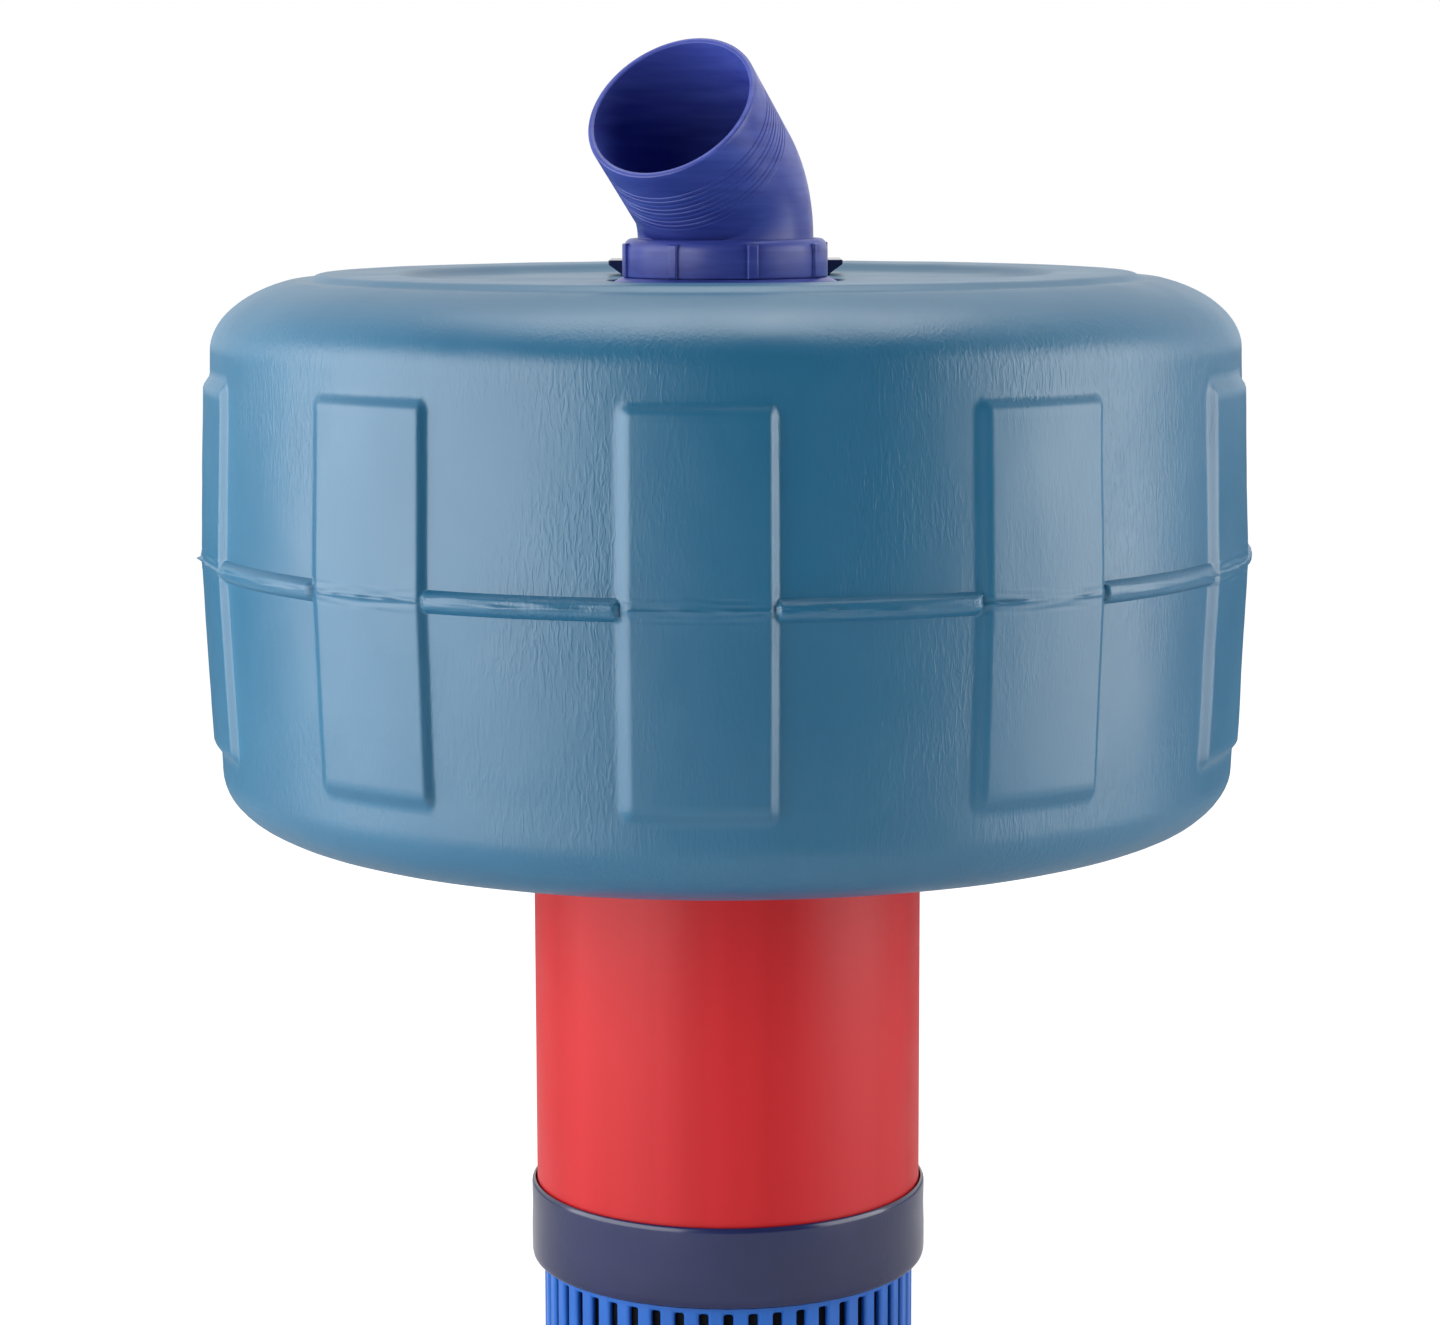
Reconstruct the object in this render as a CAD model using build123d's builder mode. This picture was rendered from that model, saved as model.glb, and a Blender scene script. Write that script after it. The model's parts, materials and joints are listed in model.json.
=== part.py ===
from build123d import *
import math
import os

os.makedirs("parts", exist_ok=True)

# A floating pond pump stands on its strainer, +Z up, with the pump axis on Z.
# -Y is the side that the outlet elbow leans towards, and sizes are in millimetres.

# Clearances
fit_gap = 0.15            # fixed pieces that slide together
running_gap = 0.3         # turning pieces beside fixed ones
bearing_gap = 0.02        # bearing rings on the shaft and in their seats
face_gap = 0.1            # seal faces that slide on each other

# Strainer basket
basket_r = 82.4
basket_wall = 3.6
basket_height = 110.0
basket_rim = 8.0          # part of the basket that the collar hides
basket_base = 5.0
basket_edge = 2.4
slot_count = 48
slot_width = 4.2
slot_rows = 2
slot_top_margin = 3.6
slot_bottom_margin = 12.0
slot_band = 7.0           # solid hoop between the two rows of slots
base_slot_count = 12
base_slot_length = 34.0
base_slot_r = 48.0
screen_wall = 1.2

# Lower collar
collar_wall = 2.3         # round the barrel
collar_height = 36.0
collar_web = 8.0
collar_web_r = 72.0
collar_bevel = 2.2
collar_lead = 0.5         # how far the collar's mouth opens for the barrel

# Barrel
barrel_r = 85.35
barrel_wall = 4.0
barrel_exposed = 163.0    # from the collar to the float's underside
barrel_top_gap = 8.0      # from the barrel's end to the float's deck

# Float
float_wall = 4.0
float_wall_r = 224.3      # body wall at the moulding seam
float_top_wall_r = 221.8
float_low_wall_r = 220.2
seam_rise = 119.0         # float's underside to the moulding seam
plateau_rise = 119.7      # seam to the flat top
plateau_r = 175.5
ledge_r = 180.0
ledge_drop = 2.75
shoulder_start_r = 188.0
shoulder_width = 56.8
shoulder_depth = 32.0
shoulder_joint = 45.0     # degrees where the shoulder's two arcs meet
foot_width = 41.4
foot_depth = 27.1
dish_r = 142.0
dish_depth = 3.5
dish_slope = 6.0
flange_seat_r = 51.4
flange_seat_depth = 4.6
deck_thickness = 12.2
well_gap = 1.0            # float's well around the barrel
well_lead = 6.0
seam_crest_r = 230.0
seam_half = 4.4
seam_tip = 0.6
round_side = 0.29         # how far a quarter round's middle stands from its corner
pad_count = 10
pad_turn = -2.67          # first pad from the front, positive towards +X
pad_width = 62.0          # at the wall, with its flanks
pad_slope = 1.2           # flank's run for each unit of its rise
pad_relief = 3.0
pad_low = 82.0            # below the seam
pad_high = 78.0           # above the seam
pad_corner = 4.0

# Outlet: nipple, union nut and elbow
bore_r = 35.0
nipple_neck_r = 41.3
nipple_flange_r = 50.4
nipple_flange_edge = 1.2
nipple_cone = 3.1
nipple_tail_r = 44.0
nipple_tail = 25.4
nipple_neck = 6.2
gasket_thickness = 1.5
nut_r = 45.0
nut_rib_r = 46.4
nut_rib_count = 8
nut_rib_turn = 15.0
nut_rib_width = 5.0
nut_height = 16.7
nut_bore_r = 41.6
nut_lip = 3.5
nut_shoulder = 4.5
nut_round = (0.72, 0.3)   # middle of the shoulder, as shares of its width and drop
nut_rib_drop = 2.7        # rib's top under the nut's top
elbow_pipe_r = 38.5
elbow_collar_r = 41.2
elbow_collar = 3.5
spigot_r = 38.0
spigot_length = 36.0      # from the mouth to the step that stops the hose
spigot_step = 1.0         # length of that step
elbow_tilt = 50.5
elbow_bend_r = 33.0
elbow_straight = 47.0     # from the bend to the mouth
elbow_heading = 28.1      # from -Y towards -X

# Head cover and tie rods
cover_plate = 8.0
cover_spigot = 12.0
cover_spigot_in_r = 63.0
cover_boss_r = 54.0
cover_boss = 16.0
tie_circle_r = 71.5
tie_rod_r = 4.0
tie_rod_drop = 1.5        # rod's end under the deck's underside
tie_count = 4
tie_turn = 45.0
tie_nut_af = 13.0
tie_nut_height = 6.0
tie_nut_pocket_r = 8.2
tie_nut_pocket = 8.5

# Cable entry on the float's deck
entry_half_width = 52.5
entry_front = 54.0
entry_depth = 36.0
entry_height = 7.0
entry_lip = 3.5
entry_inset = 5.5
entry_block_width = 30.0
entry_block_height = 21.0
entry_block_depth = 24.0
entry_hole_r = 6.0
entry_hole_y = 62.0
gland_axis_rise = 12.0    # above the entry plate
gland_af = 20.0
gland_hex = 6.0
gland_thread_r = 8.0
gland_thread = 8.0
gland_bore_r = 5.0
gland_nut_length = 16.0

# Pump end
plate_thickness = 6.0
eye_r = 30.0
wear_ring_in_r = 26.3
impeller_r = 54.0
impeller_neck_in_r = 22.0
impeller_rise = 2.0       # lower shroud above the suction plate
impeller_lead = 1.0       # neck's lower end above the plate's, and hub's below the shroud
shroud = 2.0
vane_height = 10.0
vane_count = 6
vane_root_r = 12.0
vane_front = ((34.0, 12.0), (44.0, 30.0))
vane_back = ((32.8, 14.6), (42.0, 31.5))
vane_thickness = 2.6
back_shroud = 3.0
hub_r = 13.0
hub_top = 155.0
washer_r = 11.0
washer_thickness = 2.0
shaft_nut_af = 17.0
shaft_nut_height = 7.0
diffuser_gap = 1.0        # over the impeller
diffuser_disc = 6.0
hub_clearance = 0.9
guide_vane_count = 8
guide_vane_turn = 22.5
guide_vane_thickness = 3.0
guide_vane_in_r = 57.0
guide_vane_top = 20.0     # above the diffuser's disc

# Motor
motor_r = 62.0
can_wall = 2.0
can_height = 244.0
bracket_height = 36.0
bracket_spigot = 8.0
seal_pocket_r = 17.0
seal_pocket = 16.0
bearing_r = 20.0
bearing_bore_r = 8.5
bearing_width = 12.0
bearing_race = 3.0
top_bearing_drop = 28.0   # from the can's top to the upper bearing
ball_count = 7
shaft_pump_r = 8.0
shaft_shoulder_r = 10.0
shaft_core_r = 12.0
shaft_thread_r = 5.0
shaft_clearance = 0.5
shaft_end = 1.0           # shaft above the upper bearing
shaft_end_room = 2.0      # over the shaft's end
shaft_bottom = 121.0
core_length = 140.0
core_rise = 48.0          # from the can's foot to the stator
stator_bore_r = 32.0
air_gap = 0.6
stator_slot_count = 12
stator_slot_width = 6.0
winding_margin = 5.0      # windings clear of the stator's bore and of the can
winding_height = 26.0
end_ring_r = 29.0
end_ring = 7.0
end_ring_in_r = 18.5
top_bracket = 10.0
fin_count = 4
fin_width = 6.0
fin_overlap = 2.0
hub_wall = 6.0
cap_inset = 2.0
cap_rim = 10.0
cap_flange = 5.0
cap_height = 26.0
cap_wall = 4.0
key_width = 4.0
key_length = 12.0

# Heights, worked out from the base up
collar_r = barrel_r + fit_gap + collar_wall
collar_bottom = basket_height
collar_top = collar_bottom + collar_height
web_bottom = collar_bottom + basket_rim
web_top = web_bottom + collar_web
float_bottom = collar_top + barrel_exposed
seam_z = float_bottom + seam_rise
plateau_z = seam_z + plateau_rise
dish_z = plateau_z - dish_depth
seat_z = dish_z - flange_seat_depth
deck_z = dish_z - deck_thickness
barrel_bottom = web_top
barrel_top = deck_z - barrel_top_gap
barrel_bore_r = barrel_r - barrel_wall
inner_r = barrel_bore_r - fit_gap * 2
plate_top = web_top + plate_thickness
impeller_z = plate_top + impeller_rise
back_z = impeller_z + shroud + vane_height
diffuser_z = back_z + back_shroud + diffuser_gap
motor_z = diffuser_z + diffuser_disc
bracket_top = motor_z + bracket_height
can_bore_r = motor_r - can_wall
winding_in_r = stator_bore_r + winding_margin
winding_out_r = can_bore_r - winding_margin
cap_flange_r = motor_r - cap_inset
cap_r = cap_flange_r - cap_rim
can_top = bracket_top + can_height
core_z = bracket_top + core_rise
core_top = core_z + core_length
top_bearing_z = can_top - top_bearing_drop
low_bearing_z = bracket_top - bearing_width + bracket_spigot
shaft_top = top_bearing_z + bearing_width + shaft_end


def ring(inner, outer, bottom, height):
    """Return a plain turned ring about the pump axis."""
    with BuildPart() as piece:
        with BuildSketch(Plane.XY.offset(bottom)):
            Circle(outer)
            Circle(inner, mode=Mode.SUBTRACT)
        extrude(amount=height)
    return piece


def bearing_balls(bottom):
    """Return the balls of one bearing that stands on the height given."""
    track_r = (bearing_r + bearing_bore_r) / 2
    ball_r = (bearing_r - bearing_bore_r) / 2 - bearing_race - fit_gap
    with BuildPart() as piece:
        with Locations((0, 0, bottom + bearing_width / 2)):
            with PolarLocations(track_r, ball_count):
                Sphere(ball_r)
    return piece


# Float shell: a blow-moulded hollow ring with a well for the barrel
well_r = barrel_r + well_gap
shoulder_run = shoulder_start_r - float_top_wall_r + shoulder_width
float_turns = math.degrees(math.acos(shoulder_run / shoulder_width))
shoulder_z = plateau_z - ledge_drop - shoulder_depth * math.sin(math.radians(float_turns))


def shoulder_point(degrees):
    """Return radius and height of a point on the float's rounded shoulder."""
    out = shoulder_width * math.cos(math.radians(degrees))
    rise = shoulder_depth * math.sin(math.radians(degrees))
    return (float_top_wall_r - shoulder_width + out, shoulder_z + rise)


foot_middle = (float_low_wall_r - foot_width * round_side, float_bottom + foot_depth * round_side)
shoulder_middle = shoulder_point(shoulder_joint)
pad_middle = seam_z + (pad_high - pad_low) / 2
pad_height = pad_high + pad_low
pad_root = pad_relief * 2
root_spread = pad_root * pad_slope * 2
crest_spread = (float_wall_r - seam_crest_r) * pad_slope * 2
with BuildPart() as pad_form:
    with BuildSketch(Plane.YZ.offset(float_wall_r - pad_root)):
        with Locations((0, pad_middle)):
            RectangleRounded(pad_width + root_spread, pad_height + root_spread, pad_corner * 2)
    with BuildSketch(Plane.YZ.offset(seam_crest_r)):
        with Locations((0, pad_middle)):
            RectangleRounded(pad_width + crest_spread, pad_height + crest_spread, pad_corner)
    loft()
    with BuildSketch(Plane.XZ):
        with BuildLine():
            Polyline(
                (float_low_wall_r + pad_relief, float_bottom),
                (float_wall_r + pad_relief, seam_z),
                (float_top_wall_r + pad_relief, seam_z + plateau_rise),
                (0, seam_z + plateau_rise),
                (0, float_bottom),
                close=True,
            )
        make_face()
    revolve(axis=Axis.Z, mode=Mode.INTERSECT)

with BuildPart() as float_shell:
    with BuildSketch(Plane.XZ):
        with BuildLine():
            foot = ThreePointArc(
                (float_low_wall_r - foot_width, float_bottom),
                foot_middle,
                (float_low_wall_r, float_bottom + foot_depth),
            )
            shoulder_side = ThreePointArc(
                (float_top_wall_r, shoulder_z),
                shoulder_point(shoulder_joint / 2),
                shoulder_point(shoulder_joint),
            )
            shoulder_crown = ThreePointArc(
                shoulder_side @ 1,
                shoulder_point((shoulder_joint + float_turns) / 2),
                shoulder_point(float_turns),
            )
            Polyline(foot @ 1, (float_wall_r, seam_z), shoulder_side @ 0)
            Polyline(
                shoulder_crown @ 1,
                (ledge_r, plateau_z - ledge_drop),
                (plateau_r, plateau_z),
                (dish_r, plateau_z),
                (dish_r - dish_slope, dish_z),
                (flange_seat_r, dish_z),
                (flange_seat_r, seat_z),
                (nipple_tail_r + fit_gap, seat_z),
                (nipple_tail_r + fit_gap, deck_z),
                (well_r, deck_z),
                (well_r, float_bottom + well_lead),
                (well_r + well_lead, float_bottom),
                foot @ 0,
            )
        make_face()
    revolve(axis=Axis.Z)
    with BuildSketch(Plane.XZ):
        with BuildLine():
            Polyline(
                (float_wall_r - float_wall / 2, seam_z - seam_half),
                (seam_crest_r, seam_z - seam_tip),
                (seam_crest_r, seam_z + seam_tip),
                (float_wall_r - float_wall / 2, seam_z + seam_half),
                close=True,
            )
        make_face()
    revolve(axis=Axis.Z)
    with Locations(Rotation(0, 0, pad_turn - 90)):
        with PolarLocations(0, pad_count):
            add(pad_form.part)
    with BuildSketch(Plane.XZ):
        with BuildLine():
            Polyline(
                (float_low_wall_r - foot_width, float_bottom + float_wall),
                (foot_middle[0] - float_wall, foot_middle[1] + float_wall),
                (float_low_wall_r - float_wall, float_bottom + foot_depth),
                (float_wall_r - float_wall, seam_z),
                (float_top_wall_r - float_wall, shoulder_z),
                (shoulder_middle[0] - float_wall, shoulder_middle[1] - float_wall),
                (shoulder_start_r, plateau_z - ledge_drop - float_wall),
                (well_r + float_wall * 2, dish_z - float_wall),
                (well_r + float_wall, deck_z),
                (well_r + float_wall, float_bottom + well_lead + float_wall),
                (well_r + float_wall + well_lead, float_bottom + float_wall),
                close=True,
            )
        make_face()
    revolve(axis=Axis.Z, mode=Mode.SUBTRACT)
    with Locations((0, entry_hole_y, dish_z)):
        Hole(entry_hole_r + fit_gap)
float_shell.part.label = "float_shell"
export_step(float_shell.part, "parts/float_shell.step")

# Barrel: the tube that hangs from the float and holds the motor
with BuildPart() as barrel:
    with BuildSketch(Plane.XY.offset(barrel_bottom)):
        Circle(barrel_r)
        Circle(barrel_bore_r, mode=Mode.SUBTRACT)
    extrude(amount=barrel_top - barrel_bottom)
barrel.part.label = "barrel"
export_step(barrel.part, "parts/barrel.step")

# Lower collar: joins the barrel to the strainer
with BuildPart() as lower_collar:
    with BuildSketch(Plane.XZ):
        with BuildLine():
            Polyline(
                (collar_r - collar_bevel, collar_bottom),
                (collar_r, collar_bottom + collar_bevel),
                (collar_r, collar_top - collar_bevel / 2),
                (collar_r - collar_bevel / 2, collar_top),
                (barrel_r + fit_gap + collar_lead, collar_top),
                (barrel_r + fit_gap, collar_top - collar_bevel),
                (barrel_r + fit_gap, web_top),
                (collar_web_r, web_top),
                (collar_web_r, web_bottom),
                (basket_r + fit_gap, web_bottom),
                (basket_r + fit_gap, collar_bottom),
                close=True,
            )
        make_face()
    revolve(axis=Axis.Z)
lower_collar.part.label = "lower_collar"
export_step(lower_collar.part, "parts/lower_collar.step")

# Strainer basket: a slotted cup whose rim screws into the collar
slot_top = collar_bottom - slot_top_margin
slot_length = (slot_top - slot_bottom_margin - slot_band * (slot_rows - 1)) / slot_rows
with BuildPart() as strainer_basket:
    with BuildSketch():
        Circle(basket_r)
    extrude(amount=web_bottom)
    chamfer(strainer_basket.faces().sort_by(Axis.Z)[0].edges(), basket_edge)
    with BuildSketch(Plane.XY.offset(basket_base)):
        Circle(basket_r - basket_wall)
    extrude(amount=web_bottom, mode=Mode.SUBTRACT)
    for row in range(slot_rows):
        row_z = slot_bottom_margin + row * (slot_length + slot_band)
        with BuildSketch(Plane.XY.offset(row_z)):
            with PolarLocations(basket_r, slot_count):
                Rectangle(basket_wall * 4, slot_width)
        extrude(amount=slot_length, mode=Mode.SUBTRACT)
    with BuildSketch():
        with PolarLocations(base_slot_r, base_slot_count):
            Rectangle(base_slot_length, slot_width)
    extrude(amount=basket_base, mode=Mode.SUBTRACT)
strainer_basket.part.label = "strainer_basket"
export_step(strainer_basket.part, "parts/strainer_basket.step")

# Intake screen: a fine mesh sleeve behind the strainer's slots, drawn as a plain wall
screen_r = basket_r - basket_wall - fit_gap
intake_screen = ring(screen_r - screen_wall, screen_r, basket_base, web_bottom - fit_gap - basket_base)
intake_screen.part.label = "intake_screen"
export_step(intake_screen.part, "parts/intake_screen.step")

# Suction plate: closes the barrel's foot around the impeller's eye
with BuildPart() as suction_plate:
    with BuildSketch(Plane.XY.offset(web_top)):
        Circle(inner_r)
        Circle(eye_r, mode=Mode.SUBTRACT)
        with Locations(Rotation(0, 0, tie_turn)):
            with PolarLocations(tie_circle_r, tie_count):
                Circle(tie_rod_r + fit_gap, mode=Mode.SUBTRACT)
    extrude(amount=plate_thickness)
suction_plate.part.label = "suction_plate"
export_step(suction_plate.part, "parts/suction_plate.step")

wear_ring = ring(wear_ring_in_r, eye_r - bearing_gap, web_top, plate_thickness)
wear_ring.part.label = "wear_ring"
export_step(wear_ring.part, "parts/wear_ring.step")

# Impeller: closed, with backward-curved vanes between two shrouds
with BuildPart() as impeller:
    with BuildSketch(Plane.XY.offset(web_top + impeller_lead)):
        Circle(wear_ring_in_r - running_gap)
        Circle(impeller_neck_in_r, mode=Mode.SUBTRACT)
    extrude(amount=impeller_z - web_top - impeller_lead)
    with BuildSketch(Plane.XY.offset(impeller_z)):
        Circle(impeller_r)
        Circle(impeller_neck_in_r, mode=Mode.SUBTRACT)
    extrude(amount=shroud)
    with BuildSketch(Plane.XY.offset(back_z)):
        Circle(impeller_r)
    extrude(amount=back_shroud)
    with BuildSketch(Plane.XY.offset(impeller_z - impeller_lead)):
        Circle(hub_r)
    extrude(amount=hub_top - impeller_z + impeller_lead)
    with BuildSketch(Plane.XY.offset(impeller_z + shroud)):
        with PolarLocations(0, vane_count):
            with BuildLine():
                pressure = ThreePointArc((vane_root_r, 0), *vane_front)
                suction = ThreePointArc((vane_root_r, vane_thickness), *vane_back)
                Line(pressure @ 0, suction @ 0)
                Line(pressure @ 1, suction @ 1)
            make_face()
    extrude(amount=vane_height)
    with Locations((0, 0, hub_top)):
        Hole(shaft_pump_r + bearing_gap)
    with BuildSketch(Plane.XY.offset(hub_top - key_length)):
        with Locations((shaft_pump_r, 0)):
            Rectangle(key_width + bearing_gap, key_width + bearing_gap)
    extrude(amount=key_length, mode=Mode.SUBTRACT)
impeller.part.label = "impeller"
export_step(impeller.part, "parts/impeller.step")

with BuildPart() as impeller_key:
    with BuildSketch(Plane.XY.offset(hub_top - key_length + fit_gap)):
        with Locations((shaft_pump_r, 0)):
            Rectangle(key_width - bearing_gap, key_width - bearing_gap)
    extrude(amount=key_length - fit_gap * 2)
impeller_key.part.label = "impeller_key"
export_step(impeller_key.part, "parts/impeller_key.step")

washer_z = impeller_z - impeller_lead - washer_thickness
impeller_washer = ring(shaft_thread_r + fit_gap, washer_r, washer_z, washer_thickness)
impeller_washer.part.label = "impeller_washer"
export_step(impeller_washer.part, "parts/impeller_washer.step")

with BuildPart() as impeller_nut:
    with BuildSketch(Plane.XY.offset(washer_z)):
        RegularPolygon(shaft_nut_af / 2, 6, major_radius=False)
        Circle(shaft_thread_r + bearing_gap, mode=Mode.SUBTRACT)
    extrude(amount=-shaft_nut_height)
impeller_nut.part.label = "impeller_nut"
export_step(impeller_nut.part, "parts/impeller_nut.step")

# Diffuser: a disc over the impeller with guide vanes out to the barrel
with BuildPart() as diffuser:
    with BuildSketch(Plane.XY.offset(diffuser_z)):
        Circle(motor_r)
        Circle(hub_r + hub_clearance, mode=Mode.SUBTRACT)
    extrude(amount=diffuser_disc)
    with BuildSketch(Plane.XZ):
        with BuildLine():
            Polyline(
                (guide_vane_in_r, plate_top),
                (inner_r, plate_top),
                (inner_r, motor_z + guide_vane_top),
                (motor_r + fit_gap, motor_z + guide_vane_top),
                (motor_r + fit_gap, motor_z),
                (guide_vane_in_r, motor_z),
                close=True,
            )
        make_face()
    vane = extrude(amount=guide_vane_thickness / 2, both=True, mode=Mode.PRIVATE)
    with PolarLocations(0, guide_vane_count, start_angle=guide_vane_turn):
        add(vane)
diffuser.part.label = "diffuser"
export_step(diffuser.part, "parts/diffuser.step")

# Shaft seal: a fixed seat in the motor's foot, and a turning face on bellows
seat_thickness = 5.0
seat_bore_r = shaft_shoulder_r + 1.0
face_thickness = 4.0
face_r = 14.5
bellows_end_r = 12.0
bellows_waist_r = 10.5
seat_bottom = motor_z + seal_pocket - seat_thickness
face_bottom = seat_bottom - face_gap - face_thickness
seal_seat = ring(seat_bore_r, seal_pocket_r - fit_gap, seat_bottom, seat_thickness)
seal_seat.part.label = "seal_seat"
export_step(seal_seat.part, "parts/seal_seat.step")

seal_face = ring(shaft_pump_r + bearing_gap, face_r, face_bottom, face_thickness)
seal_face.part.label = "seal_face"
export_step(seal_face.part, "parts/seal_face.step")

with BuildPart() as seal_bellows:
    with BuildSketch(Plane.XZ):
        with BuildLine():
            Polyline(
                (shaft_pump_r + bearing_gap, hub_top),
                (bellows_end_r, hub_top),
                (bellows_waist_r, (hub_top + face_bottom) / 2),
                (bellows_end_r, face_bottom),
                (shaft_pump_r + bearing_gap, face_bottom),
                close=True,
            )
        make_face()
    revolve(axis=Axis.Z)
seal_bellows.part.label = "seal_bellows"
export_step(seal_bellows.part, "parts/seal_bellows.step")

# Motor's foot: carries the seal, the lower bearing and the can
with BuildPart() as lower_bracket:
    with BuildSketch(Plane.XZ):
        with BuildLine():
            Polyline(
                (seal_pocket_r, motor_z),
                (motor_r, motor_z),
                (motor_r, bracket_top),
                (can_bore_r - fit_gap, bracket_top),
                (can_bore_r - fit_gap, bracket_top + bracket_spigot),
                (bearing_r + bearing_gap, bracket_top + bracket_spigot),
                (bearing_r + bearing_gap, low_bearing_z),
                (shaft_shoulder_r + shaft_clearance, low_bearing_z),
                (shaft_shoulder_r + shaft_clearance, motor_z + seal_pocket),
                (seal_pocket_r, motor_z + seal_pocket),
                close=True,
            )
        make_face()
    revolve(axis=Axis.Z)
lower_bracket.part.label = "lower_bracket"
export_step(lower_bracket.part, "parts/lower_bracket.step")

lower_bearing_outer = ring(bearing_r - bearing_race, bearing_r, low_bearing_z, bearing_width)
lower_bearing_outer.part.label = "lower_bearing_outer"
export_step(lower_bearing_outer.part, "parts/lower_bearing_outer.step")

inner_race_r = bearing_bore_r + bearing_race
lower_bearing_inner = ring(bearing_bore_r + bearing_gap, inner_race_r, low_bearing_z, bearing_width)
lower_bearing_inner.part.label = "lower_bearing_inner"
export_step(lower_bearing_inner.part, "parts/lower_bearing_inner.step")

lower_bearing_balls = bearing_balls(low_bearing_z)
lower_bearing_balls.part.label = "lower_bearing_balls"
export_step(lower_bearing_balls.part, "parts/lower_bearing_balls.step")

upper_bearing_outer = ring(bearing_r - bearing_race, bearing_r, top_bearing_z, bearing_width)
upper_bearing_outer.part.label = "upper_bearing_outer"
export_step(upper_bearing_outer.part, "parts/upper_bearing_outer.step")

upper_bearing_inner = ring(bearing_bore_r + bearing_gap, inner_race_r, top_bearing_z, bearing_width)
upper_bearing_inner.part.label = "upper_bearing_inner"
export_step(upper_bearing_inner.part, "parts/upper_bearing_inner.step")

upper_bearing_balls = bearing_balls(top_bearing_z)
upper_bearing_balls.part.label = "upper_bearing_balls"
export_step(upper_bearing_balls.part, "parts/upper_bearing_balls.step")

motor_can = ring(can_bore_r, motor_r, bracket_top, can_height)
motor_can.part.label = "motor_can"
export_step(motor_can.part, "parts/motor_can.step")

seal_side = 3.0
seal_outer_r = can_bore_r - fit_gap
lower_can_seal = ring(seal_outer_r - seal_side, seal_outer_r, bracket_top + bracket_spigot, seal_side)
lower_can_seal.part.label = "lower_can_seal"
export_step(lower_can_seal.part, "parts/lower_can_seal.step")

# Stator: laminated core with open slots, and its end windings
with BuildPart() as stator_core:
    with BuildSketch(Plane.XY.offset(core_z)):
        Circle(can_bore_r - fit_gap)
        Circle(stator_bore_r, mode=Mode.SUBTRACT)
        with PolarLocations((winding_in_r + winding_out_r) / 2, stator_slot_count):
            Rectangle(winding_out_r - winding_in_r, stator_slot_width, mode=Mode.SUBTRACT)
    extrude(amount=core_length)
stator_core.part.label = "stator_core"
export_step(stator_core.part, "parts/stator_core.step")

with BuildPart() as stator_windings:
    for winding_z in (core_z - winding_height, core_top):
        with BuildSketch(Plane.XZ):
            with Locations(((winding_in_r + winding_out_r) / 2, winding_z + winding_height / 2)):
                Rectangle(winding_out_r - winding_in_r, winding_height)
        revolve(axis=Axis.Z)
stator_windings.part.label = "stator_windings"
export_step(stator_windings.part, "parts/stator_windings.step")

rotor_core = ring(shaft_core_r + bearing_gap, stator_bore_r - air_gap, core_z, core_length)
rotor_core.part.label = "rotor_core"
export_step(rotor_core.part, "parts/rotor_core.step")

with BuildPart() as rotor_end_rings:
    for ring_z in (core_z - end_ring, core_top):
        with BuildSketch(Plane.XY.offset(ring_z)):
            Circle(end_ring_r)
            Circle(end_ring_in_r, mode=Mode.SUBTRACT)
        extrude(amount=end_ring)
rotor_end_rings.part.label = "rotor_end_rings"
export_step(rotor_end_rings.part, "parts/rotor_end_rings.step")

with BuildPart() as motor_shaft:
    with BuildSketch(Plane.XZ):
        with BuildLine():
            Polyline(
                (0, shaft_bottom),
                (shaft_thread_r, shaft_bottom),
                (shaft_thread_r, washer_z + washer_thickness),
                (shaft_pump_r, washer_z + washer_thickness),
                (shaft_pump_r, low_bearing_z - fit_gap),
                (bearing_bore_r, low_bearing_z - fit_gap),
                (bearing_bore_r, low_bearing_z + bearing_width),
                (shaft_shoulder_r, low_bearing_z + bearing_width),
                (shaft_shoulder_r, core_z - end_ring),
                (shaft_core_r, core_z - end_ring),
                (shaft_core_r, core_top + end_ring),
                (shaft_shoulder_r, core_top + end_ring),
                (shaft_shoulder_r, top_bearing_z),
                (bearing_bore_r, top_bearing_z),
                (bearing_bore_r, shaft_top),
                (0, shaft_top),
                close=True,
            )
        make_face()
    revolve(axis=Axis.Z)
    with BuildSketch(Plane.XY.offset(hub_top - key_length)):
        with Locations((shaft_pump_r, 0)):
            Rectangle(key_width + bearing_gap, key_width + bearing_gap)
    extrude(amount=key_length, mode=Mode.SUBTRACT)
motor_shaft.part.label = "motor_shaft"
export_step(motor_shaft.part, "parts/motor_shaft.step")

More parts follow.
